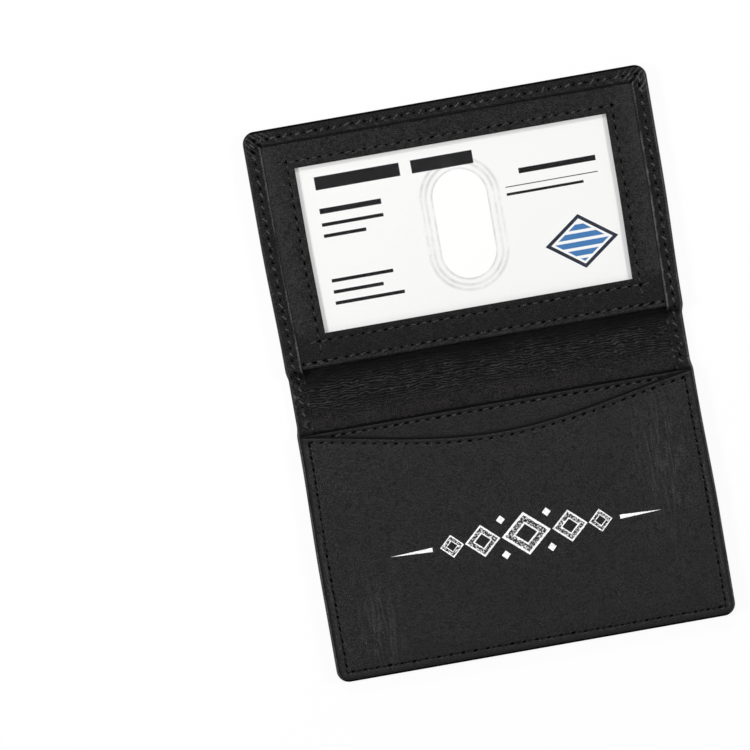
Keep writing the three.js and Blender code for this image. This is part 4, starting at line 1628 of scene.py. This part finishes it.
def leather(name, light, rough, cell, depth, shine, even=0.6, flecked=0.6, stretch=(1, 1), creased=False):
    """Leather from its lighter tone, a roughness, the grain's cell and depth in mm, and a specular level.

    Worn and highlit places have a flatter grain, and a grey shows there, which is rubbing in some places
    and a painted highlight in others: an even share of it, and the rest in lines, which a stretch below 1
    draws out. Creased leather shows its lines, as painted highlights, where its value is about -1.
    """
    material, wire, shader = new_material(name)
    height = leather_height(wire, cell)
    soft = mottle(wire, SOFT_SIZE)
    flecks = mottle(wire, FLECK_SIZE, seed=0.1)
    lines = crease_highlight_lines(wire, stretch) if creased else rub_and_highlight_lines(wire, stretch)
    wear_and_painted_light = wire.node("ShaderNodeAttribute", {"attribute_name": "wear_and_painted_light"})["Fac"]
    worn = wear_and_painted_light.between(0.0, 1.0)
    dark = wear_and_painted_light.between(-1.0, 0.0)
    spared = float(creased) * lines * (wear_and_painted_light + 2.0).between(0.0, 1.0)
    uneven = SOFT_TONE * (soft - 0.5) + flecked * (flecks - 0.5)
    tone = GRAIN_TONE[0] * height + GRAIN_TONE[1] + uneven + dark * (1 - spared)
    share = (even + (1 - even) * lines) * (GRAIN_RUB_AND_HIGHLIGHT[0] + GRAIN_RUB_AND_HIGHLIGHT[1] * height)
    rub_and_highlight = worn * share - CREASE_HIGHLIGHT * spared * dark
    colour = rub_and_highlight.blend(tone.between(0.0, 1.0).blend(grey(DYE), grey(light)), RUB_AND_HIGHLIGHT_GREY)
    roughness = rough + SOFT_ROUGH * (soft - 0.5) - GRAIN_ROUGH * (height - 0.5)
    roughness = roughness - WORN_ROUGH * worn - DARK_ROUGH * dark
    grain = wire.bump(height * (1 - WORN_FLAT * worn), depth)
    connect(wire, shader, Base_Color=colour, Roughness=roughness, Normal=grain)
    shader.inputs["Specular IOR Level"].default_value = shine
    return material


cover_finish = leather("cover_leather_black", light=0.02, rough=0.32, cell=0.62, depth=0.11, shine=0.1)
outside_finish = leather(
    "cover_leather_outside",
    light=0.02,
    rough=0.34,
    cell=0.46,
    depth=0.13,
    shine=0.21,
    even=0.8,
    flecked=1.0,
)
# Painted shade for the far edge: near-black leather with almost no gloss.
edge_shade_finish = leather("cover_leather_edge_shade", light=0.003, rough=0.5, cell=0.62, depth=0.05, shine=0.03)
window_finish = leather(
    "panel_leather_window", light=0.022, rough=0.34, cell=0.5, depth=0.08, shine=0.11, flecked=1.4
)
panel_finish = leather(
    "panel_leather_black",
    light=0.017,
    rough=0.32,
    cell=0.55,
    depth=0.09,
    shine=0.15,
    even=0.1,
    stretch=(1, 0.1),
)
lining_finish = leather(
    "lining_leather_black",
    light=0.031,
    rough=0.3,
    cell=0.4,
    depth=0.05,
    shine=0.075,
    even=0.8,
    stretch=(0.5, 1.0),
    creased=True,
)
leathers = (cover_finish, outside_finish, edge_shade_finish, window_finish, panel_finish, lining_finish)
print("leathers:", ", ".join(finish.name for finish in leathers))

# %% [markdown]
# ## Foil
#
# The front pocket carries a generic ornament pressed in silver foil: a row of five lozenges with four dots
# and, at both ends, a rule that tapers to a point. Thin meshes would lie on top of the grain, so the foil
# is a metal mask over the same leather, worked out from Object coordinates. Noise lets the grain show
# through it, as it does on hot-stamped leather.

# %% Foil on the front pocket
FOIL_MIDDLE = (2.0, -41.5)
FOIL_LOZENGES = ((0.0, (6.4, 5.6)), (11.4, (4.6, 4.2)), (19.4, (3.1, 3.0)))
FOIL_OUTLINE = 0.14
FOIL_CORE = (0.46, 0.56)
FOIL_RULE = (24.5, 35.5, 0.55)
FOIL_DOTS = ((6.0, 4.6), (1.15, 1.15))
FOIL_SILVER = (0.78, 0.78, 0.78, 1.0)
FOIL_ROUGHNESS = 0.36
FOIL_GRAIN = 0.5
FOIL_WORN = (2.6, -0.55)
FOIL_LEAST = 0.45
FOIL_SPECKS = (6.0, -2.9)
FOIL_SPECKS_MOST = 0.75


def lozenge_inside(x, y, middle, size):
    """1 - |x| / a - |y| / b about a middle: above 0 inside the lozenge, and 1 at its middle."""
    return 1 - abs(x - middle[0]) / size[0] - abs(y - middle[1]) / size[1]


def foil_masks(wire):
    """Two masks on Object coordinates: 1 on outlines, rules and dots, and 1 on the lozenges' fields."""
    x, y = place_mm(wire)
    out = abs(x - FOIL_MIDDLE[0])
    high = abs(y - FOIL_MIDDLE[1])
    solid = 0.0
    field = 0.0
    for at, size in FOIL_LOZENGES:
        inside = lozenge_inside(out, high, (at, 0.0), size)
        outline = (inside > 0.0) * (inside < FOIL_OUTLINE)
        core = (inside > FOIL_CORE[0]) * (inside < FOIL_CORE[1])
        solid = outline + core + solid
        field = (inside > FOIL_OUTLINE) * (inside < FOIL_CORE[0]) + field
    start, end, thick = FOIL_RULE
    taper = thick * (1 - (out - start) / (end - start))
    rule = (out > start) * (high < taper)
    dots = lozenge_inside(out, high, *FOIL_DOTS) > 0.0
    return (solid + rule + dots).at_most(1.0), field.at_most(1.0)


def foiled_leather(name, base):
    """The panel's leather, with Base Color, Metallic and Roughness changed where the foil is."""
    material = base.copy()
    material.name = name
    wire = Wire(material.node_tree)
    shader = material.node_tree.nodes["Principled BSDF"]
    grain = mottle(wire, FOIL_GRAIN, seed=0.3)
    solid, field = foil_masks(wire)
    worn = (FOIL_WORN[0] * grain + FOIL_WORN[1]).between(0.0, 1.0)
    speckled = (FOIL_SPECKS[0] * grain + FOIL_SPECKS[1]).between(0.0, FOIL_SPECKS_MOST)
    foil = (solid * (FOIL_LEAST + (1 - FOIL_LEAST) * worn) + field * speckled).at_most(1.0)
    colour = Wire(wire.tree, shader.inputs["Base Color"].links[0].from_socket)
    rough = Wire(wire.tree, shader.inputs["Roughness"].links[0].from_socket)
    connect(
        wire,
        shader,
        Base_Color=foil.blend(colour, FOIL_SILVER),
        Metallic=foil,
        Roughness=rough * (1 - foil) + FOIL_ROUGHNESS * foil,
    )
    return material


foil_finish = foiled_leather("panel_leather_foiled", panel_finish)
print("foil on:", foil_finish.name)

# %% [markdown]
# ## Thread, clear sheet, card and board
#
# The thread is waxed black polyester with a fine twist. There are four copies of it, lighter and darker by
# painted light: lighter ones with painted highlights for the hem, and for the window and the rear mouth,
# and darker ones with painted shade for the outside and the front pocket's mouth, and, darkest, for the
# front pocket's edge. Slits and cut lips are a plain dark finish, painted shade.

# %% Thread
TWIST_TURN = math.radians(40)
TWIST_STRETCH = (1, 6, 1)
TWIST_SIZE = 1.2
TWIST_BUMP = (0.06, 0.8)
THREAD_ROUGH = (0.2, 0.15)
FUZZ_SIZE = 0.2
DARK_TONES = (0.0005, 0.002)
DULL_ROUGH = (0.9, 0.1)


def thread(name, dark, light, shine):
    """Thread from two tones and a specular level; its fine twist is noise, stretched by a Mapping node."""
    material, wire, shader = new_material(name)
    settings = {"Vector": wire.place(), "Rotation": (0, 0, TWIST_TURN), "Scale": TWIST_STRETCH}
    turned = wire.node("ShaderNodeMapping", {}, settings)["Vector"]
    twist = wire.noise(turned, TWIST_SIZE, detail=2.0)
    colour = twist.blend(grey(dark), grey(light))
    roughness = THREAD_ROUGH[0] + THREAD_ROUGH[1] * twist
    connect(wire, shader, Base_Color=colour, Roughness=roughness, Normal=wire.bump(twist, *TWIST_BUMP))
    shader.inputs["Specular IOR Level"].default_value = shine
    return material


def plain_dark(name):
    """Painted shade for the inside of a slit and the cut lip of a panel: almost no light comes back from
    it.
    """
    material, wire, shader = new_material(name)
    fuzz = mottle(wire, FUZZ_SIZE)
    colour = fuzz.blend(*(grey(tone) for tone in DARK_TONES))
    connect(wire, shader, Base_Color=colour, Roughness=DULL_ROUGH[0] + DULL_ROUGH[1] * fuzz)
    shader.inputs["Specular IOR Level"].default_value = 0.0
    return material


hem_thread_highlit = thread("thread_hem_painted_highlight", dark=0.008, light=0.055, shine=0.5)
panel_thread_shaded = thread("thread_panel_painted_shade", dark=0.002, light=0.012, shine=0.25)
mouth_thread_highlit = thread("thread_mouth_painted_highlight", dark=0.003, light=0.026, shine=0.35)
edge_thread_shaded = thread("thread_edge_painted_shade", dark=0.0006, light=0.005, shine=0.08)
shade_finish = plain_dark("needle_hole_and_lip_shade")
print("threads:", hem_thread_highlit.name, panel_thread_shaded.name, mouth_thread_highlit.name, edge_thread_shaded.name)

# %% [markdown]
# The clear sheet is glass-like plastic, a little grey, so the card looks brightest in the bare slot. Light
# from the lamps passes straight through it, so the card behind it stays lit. The slot's edge and its
# pressed outlines are faintly milky.

# %% Clear sheet finish
MILKY_LINES = (0.1, *PRESSED_RINGS)
MILKY_HALF = 0.6
CLEAR_TINT = (0.94, 0.94, 0.94, 1.0)
MILKY_TINT = (0.66, 0.66, 0.67, 1.0)
SCUFF_SIZE = 4.0
SCUFFS = (2.4, -0.5)
SCUFFS_LEAST = 0.1
SHEET_ROUGH = (0.03, 0.12)
SHEET_IOR = 1.12


def slot_distance(wire):
    """Distance in mm from the edge of the thumb slot, at Object coordinates."""
    x, y = place_mm(wire)
    past = (abs(y - slot_middle) - SLOT_STRAIGHT).at_least(0.0)
    return (past * past + x * x) ** 0.5 - SLOT_RADIUS


def mix_shaders(wire, factor, first, second):
    """Feeds the material's output with a mix of two shaders."""
    mixed = wire.node("ShaderNodeMixShader", {}, {0: factor, 1: first, 2: second})["Shader"]
    wire.tree.links.new(mixed.socket, wire.tree.nodes["Material Output"].inputs["Surface"])


def clear_plastic(name):
    """Glass for sight, and plain transparency for light from the lamps, so the card stays lit."""
    material, wire, shader = new_material(name)
    distance = slot_distance(wire)
    milky = 0.0
    for line in MILKY_LINES:
        milky = (1 - abs(distance - line) / MILKY_HALF).at_least(0.0) + milky
    scuffs = (SCUFFS[0] * mottle(wire, SCUFF_SIZE) + SCUFFS[1]).at_least(SCUFFS_LEAST)
    tint = (milky * scuffs).at_most(1.0)
    colour = tint.blend(CLEAR_TINT, MILKY_TINT)
    connect(wire, shader, Base_Color=colour, Roughness=SHEET_ROUGH[0] + SHEET_ROUGH[1] * tint)
    shader.inputs["Transmission Weight"].default_value = 1.0
    shader.inputs["IOR"].default_value = SHEET_IOR
    path = wire.node("ShaderNodeLightPath")
    lit = path["Is Shadow Ray"].at_least(path["Is Diffuse Ray"])
    clear = wire.node("ShaderNodeBsdfTransparent")["BSDF"]
    mix_shaders(wire, lit, Wire(wire.tree, shader.outputs["BSDF"]), clear)
    return material


clear_finish = clear_plastic("clear_sheet_plastic")
print("clear sheet:", clear_finish.name)

# %% [markdown]
# The card is white stock with plain bars, each given by its middle and its half size, and a striped
# lozenge. The boards inside are grey-brown fibre board.

# %% Card print
CARD_BARS = (
    ((-25.0, 56.2), (11.0, 1.7)),
    ((-3.0, 56.2), (8.0, 1.7)),
    ((-28.0, 49.0), (8.0, 0.7)),
    ((-28.0, 45.5), (8.0, 0.45)),
    ((-30.5, 42.6), (5.5, 0.45)),
    ((-28.0, 31.0), (8.0, 0.45)),
    ((-29.5, 28.1), (6.5, 0.45)),
    ((-27.0, 25.2), (9.0, 0.45)),
    ((26.0, 50.5), (10.0, 0.7)),
    ((24.0, 46.9), (12.0, 0.12)),
    ((22.0, 45.0), (10.0, 0.35)),
)
CARD_MARK = (29.0, 30.0)
CARD_MARK_SIZE = (9.5, 7.0)
MARK_OUTLINE = 0.16
MARK_FIELD = 0.26
STRIPE_PITCH = 2.2
STRIPE_GAP = 0.35
STOCK_TONES = ((0.945, 0.945, 0.935, 1.0), (0.98, 0.98, 0.97, 1.0))
INK = (0.004, 0.004, 0.0045, 1.0)
MARK_INK = (0.02, 0.025, 0.04, 1.0)
STRIPE_BLUE = (0.06, 0.2, 0.46, 1.0)
PAPER_SIZE = 0.4
PAPER_ROUGH = (0.5, 0.1)
PAPER_SHINE = 0.1


def card_stock(name):
    """White stock with dark bars, and a lozenge with blue stripes, by masks on Object coordinates."""
    material, wire, shader = new_material(name)
    x, y = place_mm(wire)
    ink = 0.0
    for (at_x, at_y), (wide, high) in CARD_BARS:
        ink = (abs(x - at_x) < wide) * (abs(y - at_y) < high) + ink
    inside = lozenge_inside(x, y, CARD_MARK, CARD_MARK_SIZE)
    outline = (inside > 0) * (1 - (inside > MARK_OUTLINE))
    stripe = ((y - CARD_MARK[1]) / STRIPE_PITCH).math("FRACT") > STRIPE_GAP
    paper = mottle(wire, PAPER_SIZE)
    printed = ink.at_most(1.0).blend(paper.blend(*STOCK_TONES), INK)
    marked = outline.blend(printed, MARK_INK)
    striped = ((inside > MARK_FIELD) * stripe).blend(marked, STRIPE_BLUE)
    connect(wire, shader, Base_Color=striped, Roughness=PAPER_ROUGH[0] + PAPER_ROUGH[1] * paper)
    shader.inputs["Specular IOR Level"].default_value = PAPER_SHINE
    return material


card_finish = card_stock("card_stock_white")
print("card:", len(CARD_BARS), "bars on", card_finish.name)

# %% Fibre board
BOARD_TONES = ((0.16, 0.12, 0.08, 1.0), (0.34, 0.27, 0.18, 1.0))
BOARD_FLECKS = 0.8
BOARD_BUMP = (0.05, 0.6)
BOARD_ROUGH = (0.8, 0.15)


def fibre_board(name):
    """Pressed fibre: brown-grey with darker flecks."""
    material, wire, shader = new_material(name)
    flecks = mottle(wire, BOARD_FLECKS)
    colour = flecks.blend(*BOARD_TONES)
    roughness = BOARD_ROUGH[0] + BOARD_ROUGH[1] * flecks
    connect(wire, shader, Base_Color=colour, Roughness=roughness, Normal=wire.bump(flecks, *BOARD_BUMP))
    return material


board_finish = fibre_board("stiffener_fibre_board")
print("boards:", board_finish.name)

# %% [markdown]
# ## Putting the pieces on their bodies
#
# Pieces of one half ride on that half. The cover, the lining and the hem's seams cross the spine; they
# get their materials and stay where they were made, without a body.

# %% Dress and ride


def dress(made, finishes):
    """Gives a piece its materials, in the order that its faces number them."""
    if made.data.materials:
        made.data.materials.clear()
    for finish in finishes:
        made.data.materials.append(finish)
    return made


def sewn(seam, finish, slot, place):
    """Rows for the beads and for the slits of a seam."""
    beads, slits = seam
    return [(beads, (finish,), slot, place), (slits, (shade_finish,), slot, place)]


bend_height = LINING_LOW * MM
window_bend_end = (0, FOLD_REACH * MM, bend_height)
pocket_bend_end = (0, -FOLD_REACH * MM, bend_height)
cover_finishes = (cover_finish, outside_finish, edge_shade_finish)

CROSSING = [
    (window_cover, cover_finishes, "cover_leather", WINDOW_HALF),
    (pocket_cover, cover_finishes, "cover_leather", POCKET_HALF),
    (window_lining, (lining_finish,), "lining_leather", WINDOW_HALF),
    (pocket_lining, (lining_finish,), "lining_leather", POCKET_HALF),
    *sewn(window_hem_seam, hem_thread_highlit, "cover_leather", WINDOW_HALF),
    *sewn(window_outer_seam, panel_thread_shaded, "cover_leather", WINDOW_HALF),
    *sewn(spine_hem_seam, hem_thread_highlit, "cover_leather", POCKET_HALF),
    *sewn(pocket_outer_seam, panel_thread_shaded, "cover_leather", POCKET_HALF),
]
for made, finishes, slot, half in CROSSING:
    dress(made, finishes)
    if half == WINDOW_HALF:
        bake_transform(made)
    else:
        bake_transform(made)

RIDING = [
    (window_frame, (window_finish,), "panel_leather", "window_half"),
    (window_sheet, (clear_finish,), "clear_sheet", "window_half"),
    (shown_card, (card_finish,), "card_stock", "shown_card"),
    (rear_panel, (panel_finish, shade_finish), "panel_leather", "pocket_half"),
    (front_panel, (foil_finish, shade_finish), "panel_leather", "pocket_half"),
    *sewn(window_seam, mouth_thread_highlit, "panel_leather", "window_half"),
    *sewn(rear_mouth_seam, mouth_thread_highlit, "panel_leather", "pocket_half"),
    *sewn(front_mouth_seam, panel_thread_shaded, "panel_leather", "pocket_half"),
    *sewn(pocket_edge_seam, edge_thread_shaded, "panel_leather", "pocket_half"),
]
for made, finishes, slot, body in RIDING:
    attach(dress(made, finishes), body)
print(f"{len(CROSSING)} pieces bend with the spine, {len(RIDING)} ride on one body")

# %% [markdown]
# The new pieces stand for the plain CAD solids, which are then not drawn. Only the two stiffener boards,
# which lie hidden between leather and lining, keep their CAD shape.

# %% Replace the plain solids
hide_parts("front_cover_leather", "spine_leather_3", "spine_leather_4", "spine_leather_5")
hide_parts("back_cover_leather", "spine_leather_1", "spine_leather_2")
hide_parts("front_lining", "spine_lining_3", "spine_lining_4", "spine_lining_5")
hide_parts("back_lining", "spine_lining_1", "spine_lining_2")
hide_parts("window_panel")
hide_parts("clear_window")
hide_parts("display_card")
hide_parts("rear_pocket_panel")
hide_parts("front_pocket_panel")
for board in ("front_stiffener_board", "back_stiffener_board"):
    dress(frame["nodes"][board], (board_finish,))
print(f"{len(frame['nodes'])} CAD nodes, of which two boards keep their shape")

# %% [markdown]
# ## Studio
#
# The holder lies on a white table. Four small square lamps stand round it, at the left, at the right, at
# the far side and, much weaker, at the near side, and draw bright lines along the rolled edges. Camera
# rays see floor and backdrop as white, while the floor still takes part of its tone from the lamps, so
# the holder keeps a soft shadow.

# %% Floor and world
FLOOR_SIZE = 6.0
FLOOR_DROP = 0.00012
FLOOR_GLOW = 0.9
FLOOR_TONE = (0.97, 0.97, 0.97, 1.0)
FLOOR_ROUGHNESS = 0.9
WORLD_FILL = 0.22
WHITE = (1.0, 1.0, 1.0, 1.0)


def seen_directly(wire):
    """1 for rays from the camera, and for those that come by way of gloss or glass."""
    path = wire.node("ShaderNodeLightPath")
    return path["Is Camera Ray"].at_least(path["Is Glossy Ray"]).at_least(path["Is Transmission Ray"])


def white_floor():
    """A wide plane whose material is partly lit by the lamps and partly white by itself when seen."""
    corner = FLOOR_SIZE / 2
    mesh = bpy.data.meshes.new("floor")
    corners = [(x * corner, y * corner, -FLOOR_DROP) for x, y in ((-1, -1), (1, -1), (1, 1), (-1, 1))]
    mesh.from_pydata(corners, [], [(0, 1, 2, 3)])
    floor = bpy.data.objects.new("floor", mesh)
    bpy.context.scene.collection.objects.link(floor)
    material, wire, shader = new_material("white_floor")
    shader.inputs["Base Color"].default_value = FLOOR_TONE
    shader.inputs["Roughness"].default_value = FLOOR_ROUGHNESS
    shader.inputs["Specular IOR Level"].default_value = 0.0
    glow = wire.node("ShaderNodeEmission", {}, {"Color": WHITE, "Strength": 1.0})["Emission"]
    lit = Wire(wire.tree, shader.outputs["BSDF"])
    mix_shaders(wire, seen_directly(wire) * FLOOR_GLOW, lit, glow)
    mesh.materials.append(material)


def white_world():
    """A backdrop that is white to look at and a weaker fill as a light."""
    world = bpy.data.worlds.new("studio")
    world.use_nodes = True
    bpy.context.scene.world = world
    wire = Wire(world.node_tree)
    background = world.node_tree.nodes["Background"]
    background.inputs["Color"].default_value = WHITE
    strength = WORLD_FILL + (1 - WORLD_FILL) * seen_directly(wire)
    wire.tree.links.new(strength.socket, background.inputs["Strength"])


white_floor()
white_world()
print(f"floor {FLOOR_SIZE:.0f} m wide, fill light {WORLD_FILL}")

# %% Lamps
LAMP_SIZE = 0.12
LAMPS = (
    ("lamp_left", (-0.45, 0.06, 0.45), 1.85),
    ("lamp_right", (0.45, 0.06, 0.45), 1.38),
    ("lamp_far", (-0.05, 0.45, 0.46), 1.1),
    ("lamp_near", (0.05, -0.45, 0.46), 0.25),
)


def softbox(name, place, power):
    """A square lamp that faces the holder."""
    light = bpy.data.lights.new(name, "AREA")
    light.size = LAMP_SIZE
    light.energy = power
    lamp = bpy.data.objects.new(name, light)
    bpy.context.scene.collection.objects.link(lamp)
    lamp.location = place
    lamp.rotation_euler = (-Vector(place)).to_track_quat("-Z", "Y").to_euler()
    lamp.visible_camera = False
    print(f"{name}: {power} W")


for lamp in LAMPS:
    softbox(*lamp)

# %% [markdown]
# ## Camera
#
# The photograph looks almost straight down on the holder, which lies turned by ten degrees. Its turn and
# its place in the picture are those that bring the holder's corners to where they are seen.

# %% Camera
FRAME_PIXELS = 750
SENSOR = 36.0
CAMERA_AWAY = 600.0
PIXELS_PER_MM = 3.872
HOLDER_TURN = (math.radians(2.912), math.radians(0.151), math.radians(9.996))
HOLDER_SHIFT = Vector((29.728, -0.020, 0.0))


def photo_camera():
    """A camera that stands off the holder along its own view line, with the holder's turn undone."""
    turn = Euler(HOLDER_TURN, "XYZ").to_matrix().transposed()
    data = bpy.data.cameras.new("photo_camera")
    data.sensor_width = SENSOR
    data.lens = PIXELS_PER_MM * CAMERA_AWAY * SENSOR / FRAME_PIXELS
    camera = bpy.data.objects.new("photo_camera", data)
    bpy.context.scene.collection.objects.link(camera)
    camera.location = (turn @ (Vector((0, 0, CAMERA_AWAY)) - HOLDER_SHIFT)) * MM
    camera.rotation_euler = turn.to_euler()
    bpy.context.scene.camera = camera
    print(f"camera: lens {data.lens:.1f} mm, {CAMERA_AWAY:.0f} mm away")


photo_camera()
bpy.context.scene.view_settings.view_transform = "Standard"
